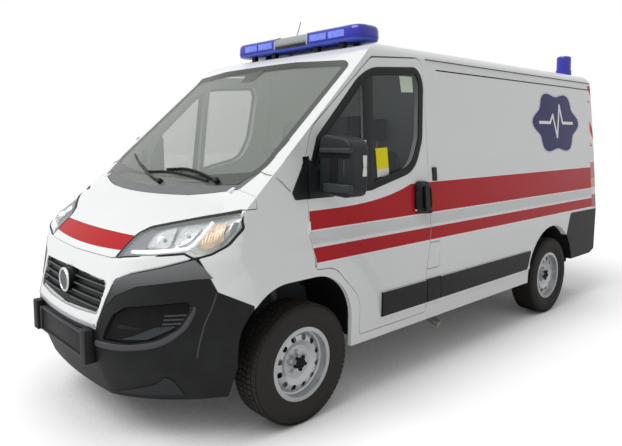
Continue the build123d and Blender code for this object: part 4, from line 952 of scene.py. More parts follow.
def plate(skin, outline, lift=0.0, thick=0.002, step=0.04, smooth=35, straight=False):
    """A thin plate of any outline, following the skin; lift is how far its outer face stands off"""
    work = bmesh.new()
    face = work.faces.new([work.verts.new((p.x, p.y, 0)) for p in spaced(outline, step, True)])
    us, vs = [v.co.x for v in face.verts], [v.co.y for v in face.verts]
    for axis, low, high in ((0, min(us), max(us)), (1, min(vs), max(vs))):
        for k in range(1, int((high - low) / step) + 1):
            at = [0, 0, 0]
            at[axis] = low + k * step
            normal = [0, 0, 0]
            normal[axis] = 1
            bmesh.ops.bisect_plane(work, geom=work.verts[:] + work.edges[:] + work.faces[:],
                                   plane_co=at, plane_no=normal)
    bmesh.ops.triangulate(work, faces=work.faces)
    inner = [edge for edge in work.edges if not edge.is_boundary]
    bmesh.ops.beautify_fill(work, faces=work.faces, edges=inner)
    work.verts.index_update()
    way = skin.ray(0, 0)[1]
    fronts, backs = [], []
    for vert in work.verts:
        place, normal = skin.under(vert.co.x, vert.co.y)
        out = -way if straight else normal
        fronts.append(place + out * lift)
        backs.append(place + out * (lift - thick))
    count = len(fronts)
    tris = [[v.index for v in f.verts] for f in work.faces]
    rim = [[e.verts[0].index, e.verts[1].index] for e in work.edges if e.is_boundary]
    work.free()
    faces = tris + [[count + i for i in reversed(tri)] for tri in tris]
    faces += [[a, b, count + b, count + a] for a, b in rim]
    return mesh_of(fronts + backs, faces, smooth)


def other_side(mesh):
    """A mirror image for the vehicle's right side"""
    return moved(mesh.copy(), Matrix.Scale(-1, 4, (1, 0, 0)))


def pair(name, mesh, material, body="body", number=""):
    """One piece on the left and its mirror image on the right; * in the body stands for the side"""
    for side, shape in (("left", mesh), ("right", other_side(mesh))):
        new_piece(name + "_" + side + number, shape, material, body=body.replace("*", side))


def mm(*rows):
    """Rows of millimetres as metres"""
    return [tuple(value / 1000 for value in row) for row in rows]


SIDE_NODES = ("cab_door_left", "cab_frame", "side_panel_left", "fender_left", "roof",
              "cab_glass_left")
left_skin = Skin("left", *SIDE_NODES)


class Flank:
    """The plain side, with one profile along its whole length, so windows and gaps don't matter"""

    ray = staticmethod(drop_axes("left"))

    def __init__(self, skin, y):
        levels = [z / 100 for z in range(39, 213, 3) if not 45 < z < 67]
        self.rows = [(z, skin.under(y, z)[0].x) for z in levels]

    def x(self, z):
        for (low, a), (high, b) in zip(self.rows, self.rows[1:]):
            if z <= high:
                return a + (b - a) * (z - low) / (high - low)
        return self.rows[-1][1]

    def under(self, y, z):
        slope = (self.x(z + 0.02) - self.x(z - 0.02)) / 0.04
        return Vector((self.x(z), y + AXLE_Y, z)), Vector((1, 0, -slope)).normalized()


flank = Flank(left_skin, 1.285)
print("side half-width at 1.0 m up:", round(flank.x(1.0), 4))

# %% [markdown]
# ## Cab doors: seals, divider, handle and cards
# The glass of each door sits in a wide black rubber frame that stands a little proud, and a
# black bar divides the small front pane from the main one. The pull handle is a tall black
# oval. Everything is made for the left door and mirrored for the right one, apart from the three
# blank cards on the left door's glass.

# %% Window seals and divider bars
CAB_WINDOW = rounded(mm(
    (520, 1935, 300), (640, 2002, 300), (1085, 2035, 60), (1122, 1960, 150), (1075, 1590, 260),
    (985, 1400, 200), (560, 1305, 60), (95, 1300, 15), (95, 1430, 60), (160, 1590, 60)), 9)
SEAL_WIDTH, SEAL_HEIGHT = 0.046, 0.004


def both_doors(name, mesh, material):
    """One piece on each cab door"""
    pair(name, mesh, material, "door_*")


seal = strip(flank, CAB_WINDOW, crown(SEAL_WIDTH, SEAL_HEIGHT), closed=True,
             step=0.015, inset=0.006)
both_doors("window_seal", seal, RUBBER)
lip = strip(flank, CAB_WINDOW, crown(0.010, SEAL_HEIGHT + 0.003), closed=True, step=0.015,
            inset=-0.016)
both_doors("window_seal_lip", lip, TRIM_BLACK)
bar = strip(flank, mm((593, 1968), (547, 1312)), crown(0.092, SEAL_HEIGHT + 0.001))
both_doors("window_divider", bar, TRIM_BLACK)
print("window seals: %d mm wide" % (SEAL_WIDTH * 1000))

# %% Handles and door contacts
HANDLE = rounded(mm((978, 1100, 55), (1147, 1082, 55), (1147, 1300, 55), (990, 1312, 55)))
HANDLE_CUP = rounded(mm((1002, 1128, 40), (1122, 1114, 40), (1122, 1270, 40), (1010, 1282, 40)))
door_skin = Skin("left", "cab_door_left")
backing = plate(door_skin, HANDLE, 0.0175, 0.021, step=0.02, straight=True)
both_doors("handle_plate", backing, TRIM_BLACK)
rim = strip(door_skin, HANDLE_CUP, crown(0.010, 0.026, -0.014), closed=True, step=0.01)
both_doors("handle_rim", rim, MIRROR_BLACK)
grip = rounded(mm((1040, 1112, 20), (1086, 1108, 20), (1086, 1282, 20), (1042, 1288, 20)))
grip = plate(door_skin, grip, 0.036, 0.012, step=0.012, straight=True)
both_doors("handle_grip", grip, BUMPER_BLACK)
contact = rounded(mm((1192, 1300, 8), (1236, 1300, 8), (1236, 1392, 8), (1192, 1392, 8)))
pair("door_contact", plate(flank, contact, 0.010, 0.012, step=0.02), TRIM_BLACK)

# %% Cards on the left door's glass
glass_skin = Skin("left", "cab_glass_left")
for name, outline, finish in (
    ("card_pale", [(0.925, 1.890), (1.050, 1.896), (1.048, 1.998), (0.915, 1.996)], CARD_GREEN),
    ("card_yellow", [(0.640, 1.400), (0.752, 1.404), (0.748, 1.536), (0.636, 1.530)], CARD_YELLOW),
    ("card_white", [(0.640, 1.352), (0.752, 1.356), (0.752, 1.404), (0.640, 1.400)], CARD_WHITE),
):
    card = plate(glass_skin, [Vector(p) for p in outline], 0.0012, 0.001)
    new_piece(name, card, finish, body="door_left")

# %% [markdown]
# ## Mouldings, a seam line and a painted shadow line of the side
# A black moulding runs along both sides at knee height, cut where a door opens, with a chamfer
# along both of its long edges. Above, a thin dark line marks where the roof is folded over the
# sides, and a second dark line is a painted shadow along the top of the large pressed field.

# %% Side mouldings
MOULD_LOW, MOULD_HIGH, MOULD_OUT = 0.474, 0.636, 0.0155
MOULD_SLANT = 0.055                # how far the rear end leans back
BASE_X = flank.x(MOULD_LOW)
LEAN = (flank.x(MOULD_HIGH) - BASE_X) / (MOULD_HIGH - MOULD_LOW)
MOULDINGS = (
    ("cab_door", ("left", "right"), "door_*", 0.640, 1.096, 0.0),
    ("pillar", ("left", "right"), "body", 1.104, 1.254, 0.0),
    ("panel", ("left",), "body", 1.260, 2.570, MOULD_SLANT),
    ("ahead", ("right",), "body", 1.262, 1.394, 0.0),
    ("sliding_door", ("right",), "body", 1.406, 2.469, 0.0),
    ("behind", ("right",), "body", 2.481, 2.570, MOULD_SLANT),
)


def moulding_bar(start, end, tail):
    """The bar's section swept along the side, which leans in; tail slants the rear end"""
    section = [(MOULD_LOW, 0.0), (MOULD_LOW + 0.004, 0.011), (MOULD_LOW + 0.030, MOULD_OUT),
               (MOULD_HIGH - 0.026, MOULD_OUT), (MOULD_HIGH - 0.004, 0.011), (MOULD_HIGH, 0.0),
               (MOULD_HIGH, -0.002), (MOULD_LOW, -0.002)]
    points, count, n = [], max(2, round((end - start) / 0.05)), len(section)
    for k in range(count + 1):
        for z, out in section:
            slant = tail * (z - MOULD_LOW) / (MOULD_HIGH - MOULD_LOW)
            y = start + (end - tail + slant - start) * k / count
            points.append((BASE_X + (z - MOULD_LOW) * LEAN + out, y + AXLE_Y, z))
    faces = quads(n, count + 1) + [tuple(range(n)), tuple(range(count * n, (count + 1) * n))]
    return mesh_of(points, faces, 20)


for name, sides, body, start, end, tail in MOULDINGS:
    bar = moulding_bar(start, end, tail)
    for side in sides:
        shape = bar.copy() if side == "left" else other_side(bar)
        new_piece("moulding_%s_%s" % (side, name), shape, TRIM_BLACK, body=body.replace("*", side))
print("mouldings:", sum(len(sides) for _, sides, *_ in MOULDINGS))

# %% A dark seam line and a painted shadow line above the side
# the gutter line is the roof's seam; the field_top line is a painted shadow under the pressed step
for name, width, line in (("gutter", 0.006, [(1.19, 2.124), (3.935, 2.124)]),
                          ("field_top", 0.009, [(1.31, 2.060), (3.925, 2.060)])):
    pair(name + "_line", strip(flank, line, crown(width, 0.0014), step=0.10), DARK_FELT_AND_SHADE)

# %% [markdown]
# ## Headlamps
# A headlamp is a clear cover over a shallow silver tray. In the tray sit two bowl reflectors,
# a bright light guide that runs along the bottom and up behind the bowls, an amber turn signal
# and a dark blade at the rear. A black gasket frames the whole lamp. All outlines are drawn as seen
# from the front and laid on the lamp's solid at different depths.

# %% Lamp helpers
HEADLAMP = rounded(mm(
    (470, 982, 4), (476, 1092, 45), (530, 1130, 80), (758, 1185, 0), (972, 1236, 10),
    (983, 1218, 8), (998, 1154, 40), (978, 1074, 60), (945, 1036, 40), (902, 1016, 6),
    (862, 1041, 12), (542, 998, 0)), 6)
NOSE_NODES = ("headlamps", "fender_left", "hood", "front_bumper", "grille_surround")
lamp_skin = Blanket("front", NOSE_NODES, (0.40, 1.03), (0.93, 1.27))


def shrunk(outline, share):
    """An outline drawn in towards its middle"""
    middle = sum(outline, Vector((0, 0))) / len(outline)
    return [middle + (p - middle) * share for p in outline]


def bowl(skin, outline, rim_lift, depth, rings=7):
    """A hollow from an outline's rim down to its middle, round like a reflector"""
    flat = spaced(outline, 0.012, True)
    points, n = [], len(flat)
    base = [skin.under(p.x, p.y) for p in flat]
    out = sum((normal for _, normal in base), Vector()).normalized()
    heart = sum((place for place, _ in base), Vector()) / n
    for ring in range(rings):
        share = 1 - ring / rings
        for place, _ in base:
            sunk = rim_lift - depth * (1 - share * share)
            points.append(heart + (place - heart) * share + out * sunk)
    points.append(heart + out * (rim_lift - depth))
    last = (rings - 1) * n
    faces = quads(n, rings) + [(last + i, last + (i + 1) % n, rings * n) for i in range(n)]
    return mesh_of(points, faces, 60), heart, out


def bulb(centre, out, radius, length):
    """A small capsule standing in a bowl"""
    profile = [
        (0.0, 0.0005), (0.0, radius * 0.7), (length * 0.6, radius * 0.7), (length * 0.62, radius),
        (length * 0.9, radius), (length, radius * 0.5), (length * 1.02, 0.0005)]
    mesh = turned(profile, 20)
    turn = Vector((1, 0, 0)).rotation_difference(out).to_matrix().to_4x4()
    return moved(mesh, Matrix.Translation(centre) @ turn)


print("headlamp outline:", len(HEADLAMP), "points")

# %% Lamp finishes
LAMP_TRAY = metal("lamp_tray", "E4E8E8", 0.30, metallic=0.25)
LAMP_SHADE = grained("lamp_shade", "6C7276", 0.35, grain=0.05)
LIGHT_GUIDE = glowing("light_guide", "FDFEFE", 0.35)


def ribbed_amber():
    """Amber plastic with fine upright ribs and a cloudy sheen painted into its colour"""
    amber = Finish("amber_signal", "D9A066", 0.22, Metallic=0.25)
    x, y, _ = amber.at()
    rib = ((x + y * 0.6) * 420).sine() * 0.5 + 0.5
    sheen = amber.noise(26.0, detail=3.0)
    # painted sheen: cloudy pale patches in the colour stand for light caught in the ribbed lens
    amber.feed("Base Color", amber.mix((sheen * 1.5 - 0.25).clamped(), "B98048", "F7E3C0"))
    amber.bump(rib, 0.5, 0.002)
    return amber.material


AMBER_SIGNAL = ribbed_amber()
print("lamp finishes:", LAMP_TRAY.name, LAMP_SHADE.name, LIGHT_GUIDE.name, AMBER_SIGNAL.name)

# %% Lamp pieces
cover = plate(lamp_skin, shrunk(HEADLAMP, 0.985), 0.0005, 0.0025, step=0.02)
tray = plate(lamp_skin, HEADLAMP, -0.030, 0.003, step=0.02)
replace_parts(new_piece("lamp_tray_left", tray, LAMP_TRAY), "headlamps")
new_piece("lamp_tray_right", other_side(tray), LAMP_TRAY)
pair("lamp_cover", cover, LAMP_CLEAR)
wall = strip(lamp_skin, HEADLAMP, [
    (-0.0015, -0.033), (0.0015, -0.033), (0.0015, 0.001), (-0.0015, 0.001)], closed=True,
    step=0.012, inset=0.002)
pair("lamp_wall", wall, TRIM_BLACK)
gasket = strip(lamp_skin, HEADLAMP, crown(0.011, 0.0022), closed=True, step=0.012, inset=0.004)
pair("lamp_gasket", gasket, RUBBER)
brow = strip(lamp_skin, mm(
    (498, 1110), (520, 1124), (560, 1137), (650, 1159), (758, 1184), (870, 1211), (974, 1233)),
    crown(0.016, 0.003), inset=-0.002)
pair("lamp_brow", brow, RUBBER)

BOWL_SUNK = 0.010                  # the bowls' rims lie this far under the cover
BOWLS = {
    "main": rounded(mm((632, 1052, 30), (600, 1118, 30), (715, 1150, 20), (800, 1066, 30))),
    "dipped": rounded(mm((735, 1155, 20), (848, 1168, 30), (862, 1100, 30), (818, 1072, 30))),
}
for name, outline in BOWLS.items():
    dish, heart, out = bowl(lamp_skin, outline, -BOWL_SUNK, 0.034)
    pair("reflector_" + name, dish, CHROME)
    pair("bulb_" + name, bulb(heart + out * -0.042, out, 0.010, 0.024), LAMP_SHADE)
    ring = strip(lamp_skin, outline, crown(0.006, 0.003), closed=True, step=0.012)
    ring.transform(Matrix.Translation(out * -BOWL_SUNK))
    pair("reflector_rim_" + name, ring, SATIN_SILVER)

guide = strip(lamp_skin, mm(
    (552, 1018), (620, 1026), (720, 1038), (820, 1051), (862, 1060), (879, 1080), (884, 1112),
    (878, 1150), (868, 1176)), crown(0.017, 0.006, 0.010))
guide.transform(Matrix.Translation((-0.003, 0.010, 0)))
pair("light_guide", guide, LIGHT_GUIDE)
amber = plate(lamp_skin, rounded(mm(
    (880, 1176, 10), (930, 1190, 10), (968, 1098, 20), (934, 1056, 20), (897, 1060, 10),
    (899, 1119, 10))), -0.012, 0.004, step=0.02)
pair("turn_signal", amber, AMBER_SIGNAL)
blade = plate(lamp_skin, rounded(mm(
    (966, 1186, 4), (985, 1180, 4), (986, 1134, 20), (966, 1070, 10), (957, 1062, 4),
    (974, 1122, 20))), -0.008, 0.004, step=0.02)
pair("lamp_blade", blade, LAMP_SHADE)
corner = plate(lamp_skin, rounded(mm(
    (478, 990, 4), (545, 1004, 4), (628, 1044, 10), (592, 1128, 20), (532, 1124, 30),
    (482, 1086, 30))), -0.014, 0.004, step=0.02)
pair("lamp_corner", corner, LAMP_SHADE)

# %% [markdown]
# ## Grille, collar and bumper
# The grille has four slats with a silver edge each, behind a plain round disc in a bright ring.
# The painted collar round it ends in a grey lip. The bumper is one grained black moulding whose
# upper part is turned up to the light and painted paler towards its top, a painted highlight; a
# raised lip runs under each side intake. Lip, crease, slots, ramp and foot take paler copies of the
# black plastic as painted highlights, and a black plate on each intake's floor is painted shade.

# %% Grille
grille_skin = Skin("front", "grille", deepest=0.3)
for k, (z, reach) in enumerate(((0.712, 0.415), (0.750, 0.425), (0.788, 0.425), (0.826, 0.425))):
    for side, start, end in (("left", 0.080, reach), ("right", -reach, -0.080)):
        line = [(start, z + 0.0045), (end, z + 0.0045)]
        edge = strip(grille_skin, line, crown(0.0075, 0.003), step=0.03)
        new_piece("slat_edge_%s_%d" % (side, k + 1), edge, RIM_DARK)

BADGE_Z, BADGE_R, BADGE_FACE = 0.797, 0.066, -0.925
ring_turn = Matrix.Rotation(-math.pi / 2, 4, "Z")
ring = turned([(0.009 * math.cos(a), BADGE_R - 0.004 + 0.008 * math.sin(a))
               for a in (math.tau * k / 16 for k in range(16))], 72, 60)
ring = moved(ring, placed(0, BADGE_FACE, BADGE_Z) @ ring_turn)
new_piece("badge_ring", ring, CHROME)
disc = turned(mm((6, 0.4), (5, 30), (1, 60), (-4, 60), (-4, 0.4)), 72, 40)
to_front = placed(0, BADGE_FACE - 0.001, BADGE_Z) @ Matrix.Scale(-1, 4, (0, 1, 0)) @ ring_turn
disc = moved(disc, to_front)
new_piece("badge_disc", disc, RIM_DARK)
print("grille badge radius:", BADGE_R)

# %% Collar lip
collar_skin = Blanket("front", ("grille_surround",), (-0.92, 0.92), (0.59, 1.03))
low_edge = mm((-430, 622), (-405, 612), (-200, 604), (0, 602), (200, 604), (405, 612), (430, 622))
new_piece("collar_lip", strip(collar_skin, low_edge, crown(0.022, 0.006), inset=0.013), BAR_SILVER)
side_edge = mm(
    (431, 622), (445, 680), (466, 775), (492, 850), (545, 895), (620, 926), (700, 949), (778, 971),
    (885, 1010))
edge = strip(collar_skin, side_edge, crown(0.006, 0.002), step=0.02)
pair("collar_edge", edge, BAR_SILVER)
frame_line = rounded(mm(
    (-445, 860, 25), (445, 860, 25), (420, 688, 25), (200, 672, 0), (0, 668, 0), (-200, 672, 0),
    (-420, 688, 25)))
rim = strip(Skin("front", "grille_surround", deepest=0.3), frame_line, crown(0.008, 0.003),
            closed=True, step=0.03, inset=-0.004)
new_piece("grille_rim", rim, SATIN_SILVER)

# %% Bumper details
# the painted highlight on the bumper band grows paler from this height over this rise
BAND_FOOT, BAND_RISE = 0.80, 0.20


def painted_highlight_plastic():
    """The upturned strip of the bumper, with a painted highlight that grows paler towards its top
    edge
    """
    finish = Finish("bumper_band_painted_highlight", "3C3E40", 0.50, Specular_IOR_Level=0.25)
    _, _, z = finish.at()
    rise = ((z - BAND_FOOT) / BAND_RISE).clamped()
    finish.feed("Base Color", finish.mix(rise, "3A3C3E", "868788"))
    finish.bump(finish.node("TexVoronoi", Vector=finish.place(), Scale=700.0), 0.15, 0.0004)
    return finish.material


BUMPER_BAND_HIGHLIGHT = painted_highlight_plastic()
FOOT_HIGHLIGHT = grained("bumper_foot_painted_highlight", "2C2E30", 0.50)
bumper_skin = Skin("front", "front_bumper", deepest=0.3)
low_skin = Blanket("front", ("front_bumper",), (0.40, 0.96), (0.24, 0.90))
# the lip takes the paler highlight grey: painted highlight
lip = strip(low_skin, flowing(mm(
    (425, 541), (590, 543), (745, 578), (832, 655), (866, 730), (874, 772))),
    crown(0.034, 0.011, 0.004), step=0.012)
pair("intake_lip", lip, HIGHLIGHT_GREY)
# the crease is a thin ridge in the paler highlight grey: painted highlight
crease = strip(bumper_skin, flowing(mm((950, 835), (932, 760), (907, 680), (885, 580), (872, 500))),
               crown(0.008, 0.0022, 0.003), step=0.02)
pair("bumper_crease", crease, HIGHLIGHT_GREY)
# painted highlight: the foot plate is a paler patch where the low bumper catches the light
foot = rounded(mm((470, 272, 0), (690, 345, 200), (752, 398, 12), (768, 380, 20), (772, 285, 0)))
pair("bumper_foot", plate(low_skin, foot, 0.004, 0.007, step=0.03, smooth=60), FOOT_HIGHLIGHT)
band = rounded(mm(
    (480, 742, 0), (488, 800, 20), (512, 868, 30), (560, 900, 30), (630, 922, 30), (778, 963, 50),
    (906, 1008, 0), (929, 966, 0), (947, 914, 0), (898, 912, 20), (661, 864, 60), (530, 800, 50)))
band_skin = Blanket("front", ("front_bumper", "grille_surround", "fender_left"), (0.40, 1.03),
                    (0.66, 1.03))
# painted highlight: the band plate is painted paler where the bumper turns up to the light
pair("bumper_band", plate(band_skin, band, 0.0035, 0.006, step=0.03, smooth=50), BUMPER_BAND_HIGHLIGHT)
pocket = rounded(mm(
    (482, 574, 8), (535, 700, 30), (603, 746, 40), (864, 791, 10), (869, 765, 15), (818, 660, 60),
    (738, 604, 50), (620, 571, 30)), 6)
# painted shade: a black plate on each intake's floor stands for the shade inside the pocket
pair("intake_floor", plate(low_skin, pocket, 0.001, 0.003, step=0.03), SHADE_BLACK)
# the three slots are ridges in the paler highlight grey: painted highlight
for k in range(3):
    z = 0.672 + k * 0.022
    slot = strip(low_skin, [(0.750 + k * 0.005, z), (0.826 + k * 0.010, z + 0.008)],
                 crown(0.010, 0.006))
    pair("intake_slot_%d" % (k + 1), slot, HIGHLIGHT_GREY)
# the slanted ramp takes the paler ridge plastic: painted highlight
ramp = plate(low_skin, rounded(mm(
    (555, 578, 10), (690, 590, 30), (775, 640, 30), (812, 668, 10), (720, 655, 30),
    (620, 600, 20))), 0.006, 0.008, step=0.03)
pair("intake_ramp", ramp, RIDGE_HIGHLIGHT)

# %% Number plate holder
def box_mesh(low, high, edge, face=0.0):
    """A box between two corners, with its edges cut back; its depths count from the face"""
    low, high = ((x, y + face, z) for x, y, z in (low, high))
    work = bmesh.new()
    bmesh.ops.create_cube(work, size=1)
    for vert in work.verts:
        vert.co = Vector([a + (b - a) * (c + 0.5) for a, b, c in zip(low, high, vert.co)])
        vert.co.y += AXLE_Y
    bmesh.ops.bevel(work, geom=work.edges[:], offset=edge, segments=2, profile=0.5,
                    affect="EDGES")
    mesh = bpy.data.meshes.new("shape")
    mark_crisp(work, 50)
    work.to_mesh(mesh)
    work.free()
    return mesh


carrier = box_mesh((-0.345, -0.950, 0.432), (0.345, -0.920, 0.572), 0.004)
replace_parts(new_piece("plate_carrier", carrier, BUMPER_BLACK), "plate_holder")
pair("plate_wing", box_mesh((0.338, -0.978, 0.430), (0.410, -0.920, 0.610), 0.006), BUMPER_BLACK)
# the post and rails take the paler highlight grey: painted highlight
pair("plate_post", box_mesh((0.322, -0.962, 0.434), (0.338, -0.945, 0.575), 0.003), HIGHLIGHT_GREY)
for name, low, high in (("top", (-0.338, -0.960, 0.566), (0.338, -0.930, 0.576)),
                        ("foot", (-0.338, -0.960, 0.432), (0.338, -0.945, 0.440))):
    new_piece("plate_rail_" + name, box_mesh(low, high, 0.002), HIGHLIGHT_GREY)

# %% [markdown]
# ## Roof lights
# The light bar is two blue hoods with rounded ends on a thin tray, and a silver block between them.
# Two bright modules glow on the front of each hood and two on its back. The bar stands on small
# black feet. A darker blue beacon stands on a black foot at the rear left corner.

# %% Light bar
BAR_Y, BAR_END, BAR_DEEP = 0.885, 0.700, 0.250


def bar_outline(start, end, inset, radius=0.105):
    """Plan of one stretch of the bar; its outer end is a wide curve"""
    half, bend = BAR_DEEP / 2 - inset, radius - inset if radius else 0
    return rounded([(start, -half, 0), (end - inset, -half, bend), (end - inset, half, bend),
                    (start, half, 0)], 10)


def stacked(levels):
    """A closed shape from outlines with equal counts, each at its own height"""
    points = [Vector((p.x, p.y + BAR_Y + AXLE_Y, z)) for outline, z in levels for p in outline]
    n, count = len(levels[0][0]), len(levels)
    ends = [tuple(reversed(range(n))), tuple(range((count - 1) * n, count * n))]
    return mesh_of(points, quads(n, count) + ends, 40)


# Height, and how far the outline is drawn in there
HOOD_LEVELS = (
    (2.262, 0.004), (2.268, 0.0), (2.318, 0.002), (2.336, 0.008), (2.346, 0.018), (2.3515, 0.034))
TRAY_LEVELS = ((2.246, 0.014), (2.250, 0.006), (2.261, 0.004))
BLOCK_LEVELS = (
    (2.262, 0.004), (2.290, 0.004), (2.294, 0.0), (2.318, 0.002), (2.338, 0.016), (2.348, 0.040))
BLOCK_HALF = 0.183
blue_hood = stacked([(bar_outline(0.185, BAR_END, inset), z) for z, inset in HOOD_LEVELS])
tray = stacked([(bar_outline(0.0, BAR_END, inset), z) for z, inset in TRAY_LEVELS])
dome = stacked([(bar_outline(0.500, BAR_END, inset + 0.012), z - 0.004)
                for z, inset in HOOD_LEVELS])
block = stacked([([Vector((x * BLOCK_HALF, y * (BAR_DEEP / 2 - inset)))
                   for x, y in ((-1, -1), (1, -1), (1, 1), (-1, 1))], z)
                 for z, inset in BLOCK_LEVELS])
joint = stacked([(bar_outline(0.176, 0.190, inset - 0.0015, 0), z + 0.0004)
                 for z, inset in HOOD_LEVELS])
for name, mesh, finish in (("bar_hood", blue_hood, BLUE_LENS), ("bar_tray", tray, BAR_TRAY_BLUE),
                           ("bar_dome", dome, BLUE_DOME), ("bar_joint", joint, SATIN_SILVER)):
    pair(name, mesh, finish)
centre_block = new_piece("bar_centre", block, BAR_SILVER)
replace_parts(centre_block, "light_bar_frame", "light_bar_lenses")
print("light bar: %.2f m wide" % (2 * BAR_END))

# %% Light modules, band and feet of the bar
FRONT_FACE = BAR_Y - BAR_DEEP / 2
BACK_FACE = 2 * BAR_Y - FRONT_FACE
for k, (start, end) in enumerate(((0.215, 0.385), (0.405, 0.560))):
    for name, near, far in (("front", FRONT_FACE - 0.0018, FRONT_FACE + 0.004),
                            ("back", BACK_FACE - 0.004, BACK_FACE + 0.0018)):
        module = box_mesh((start, near, 2.277), (end, far, 2.322), 0.0015)
        pair("bar_module_" + name, module, BLUE_MODULE, number="_%d" % (k + 1))
band = box_mesh((-0.172, FRONT_FACE - 0.001, 2.262), (0.172, BACK_FACE + 0.001, 2.283), 0.001)
new_piece("bar_centre_band", band, MIRROR_BLACK)
for name, x, y in (("front", 0.50, -0.070), ("back", 0.50, 0.070), ("inner", 0.24, -0.070)):
    foot = box_mesh((x - 0.022, BAR_Y + y - 0.018, 2.196),
                    (x + 0.022, BAR_Y + y + 0.018, 2.249), 0.004)
    pair("bar_foot_" + name, foot, TRIM_BLACK)

# %% Beacon
BEACON = (0.720, 3.750)
foot = turned(mm((2190, 0.5), (2190, 73), (2224, 73), (2232, 66), (2234, 0.5)), 64)
ribs = turned([(z + 0.03 * k, r) for k in range(4) for z, r in (
    (2.245, 0.0662), (2.247, 0.0672), (2.252, 0.0672), (2.254, 0.0662))], 64)
upright = Matrix.Rotation(-math.pi / 2, 4, "Y")
for name, mesh, finish in (("beacon_foot", foot, TRIM_BLACK), ("beacon_rings", ribs, BLUE_LENS)):
    mesh = moved(mesh, placed(BEACON[0], BEACON[1], 0) @ upright)
    new_piece(name, mesh, finish)

# %% [markdown]
# ## Windscreen, wipers, pillar feet and mirrors
# The screen has a darker printed border, wider at the foot. Each wiper is an arm that bends over
# a flat blade. Small painted pieces close the corner where the fender runs up into the pillar.
# The mirrors get their ridges, a side signal and two glasses each.

# %% Screen border
SCREEN = rounded(mm(
    (-500, 1330, 300), (0, 1300, 0), (500, 1330, 300), (878, 1408, 90), (838, 2052, 45),
    (400, 2071, 100), (-400, 2071, 100), (-838, 2052, 45), (-878, 1408, 90)), 8)
screen_blanket = Blanket("front", ("windscreen",), (-0.90, 0.90), (1.28, 2.09), step=0.02)
edge = strip(screen_blanket, SCREEN, [
    (-0.020, -0.001), (-0.020, 0.0012), (0.022, 0.0012), (0.022, -0.001)], closed=True, step=0.03)
new_piece("screen_border", edge, SCREEN_PRINT)
foot_print = plate(screen_blanket, rounded(mm(
    (-800, 1352, 0), (-500, 1326, 200), (0, 1297, 0), (500, 1326, 200), (800, 1352, 0),
    (860, 1405, 20), (800, 1412, 50), (500, 1385, 200), (0, 1360, 0), (-500, 1385, 200),
    (-800, 1412, 50), (-860, 1405, 20))), 0.0008, 0.0012, step=0.06)
new_piece("screen_foot_print", foot_print, SCREEN_PRINT)
sensor = plate(screen_blanket, rounded(mm(
    (-70, 1985, 20), (70, 1985, 20), (100, 2060, 0), (-100, 2060, 0))), 0.0008, 0.0012, step=0.06)
new_piece("screen_sensor_print", sensor, SCREEN_PRINT)
print("screen border:", len(SCREEN), "points")

# %% Wipers
def wiper(name, blade, arm, pivot):
    """A flat blade on the glass, the arm above it and the cap of its spindle"""
    blade_shape = strip(screen_blanket, flowing(blade), crown(0.013, 0.016, 0.001), step=0.04)
    arm_shape = strip(screen_blanket, flowing(arm), crown(0.015, 0.030, -0.017), step=0.04)
    blade_piece = new_piece(name + "_blade", blade_shape, TRIM_BLACK)
    new_piece(name + "_arm", arm_shape, TRIM_BLACK)
    x, z = pivot
    place, out = screen_blanket.under(x, z)
    cap = turned(mm((-30, 0.5), (-30, 17), (28, 17), (34, 10), (34, 0.5)), 24)
    cap = moved(cap, Matrix.Translation(place) @ out.to_track_quat("X", "Z").to_matrix().to_4x4())
    new_piece(name + "_spindle", cap, TRIM_BLACK)
    return blade_piece


near_wiper = wiper("near_wiper", mm((-170, 1371), (100, 1383), (350, 1372), (560, 1352)),
                   mm((640, 1352), (450, 1384), (280, 1398), (100, 1388)), (0.640, 1.352))
wiper("far_wiper", mm((-625, 1468), (-400, 1418), (-120, 1362)),
      mm((118, 1326), (-60, 1352), (-200, 1384), (-380, 1418)), (0.118, 1.326))
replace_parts(near_wiper, "wipers")

# %% Pillar feet
def closed_hull(points):
    """The smallest closed form round some points"""
    work = bmesh.new()
    for point in points:
        work.verts.new(point)
    hull = bmesh.ops.convex_hull(work, input=work.verts)
    inner = [g for g in hull["geom_interior"] + hull["geom_unused"]
             if isinstance(g, bmesh.types.BMVert)]
    bmesh.ops.delete(work, geom=inner, context="VERTS")
    bmesh.ops.recalc_face_normals(work, faces=work.faces)
    mesh = bpy.data.meshes.new("shape")
    mark_crisp(work, 45)
    work.to_mesh(mesh)
    work.free()
    return mesh


FOOT = mm((879, -112, 1494), (971.5, -90, 1496), (972, 6, 1494), (964.5, 4, 1582), (880, 4, 1588))
corner = closed_hull([Vector((x, y + AXLE_Y, z)) + Vector(shift) for x, y, z in FOOT
                      for shift in ((0, 0, 0), (-0.006, 0.030, -0.020))])
pair("pillar_foot", corner, PAINT)
cover = closed_hull([Vector((x + shift, y + AXLE_Y, z)) for x, y, z in (
    (0.9800, -0.168, 1.412), (0.9775, 0.020, 1.412), (0.9725, 0.006, 1.498),
    (0.9722, -0.092, 1.498)) for shift in (0, -0.012)])
JOINT = mm(
    (879, -196, 1419), (930, -204, 1408.5), (976.5, -195, 1401.5), (983, -150, 1376),
    (988, -82, 1312))


def wire(points, radius, sides=8):
    """A round wire through points given in the axle's frame"""
    centres = [Vector(p) + Vector((0, AXLE_Y, 0)) for p in points]
    last = len(centres) - 1
    ways = [(centres[min(k + 1, last)] - centres[max(k - 1, 0)]).normalized()
            for k in range(last + 1)]
    flat = [way.orthogonal().normalized() for way in ways]
    for k in range(1, len(flat)):
        flat[k] = (flat[k - 1] - ways[k] * flat[k - 1].dot(ways[k])).normalized()
    section = [(radius * math.cos(a), radius * math.sin(a))
               for a in (math.tau * i / sides for i in range(sides))]
    outs = [way.cross(side) for way, side in zip(ways, flat)]
    return swept(centres, flat, outs, section, False)


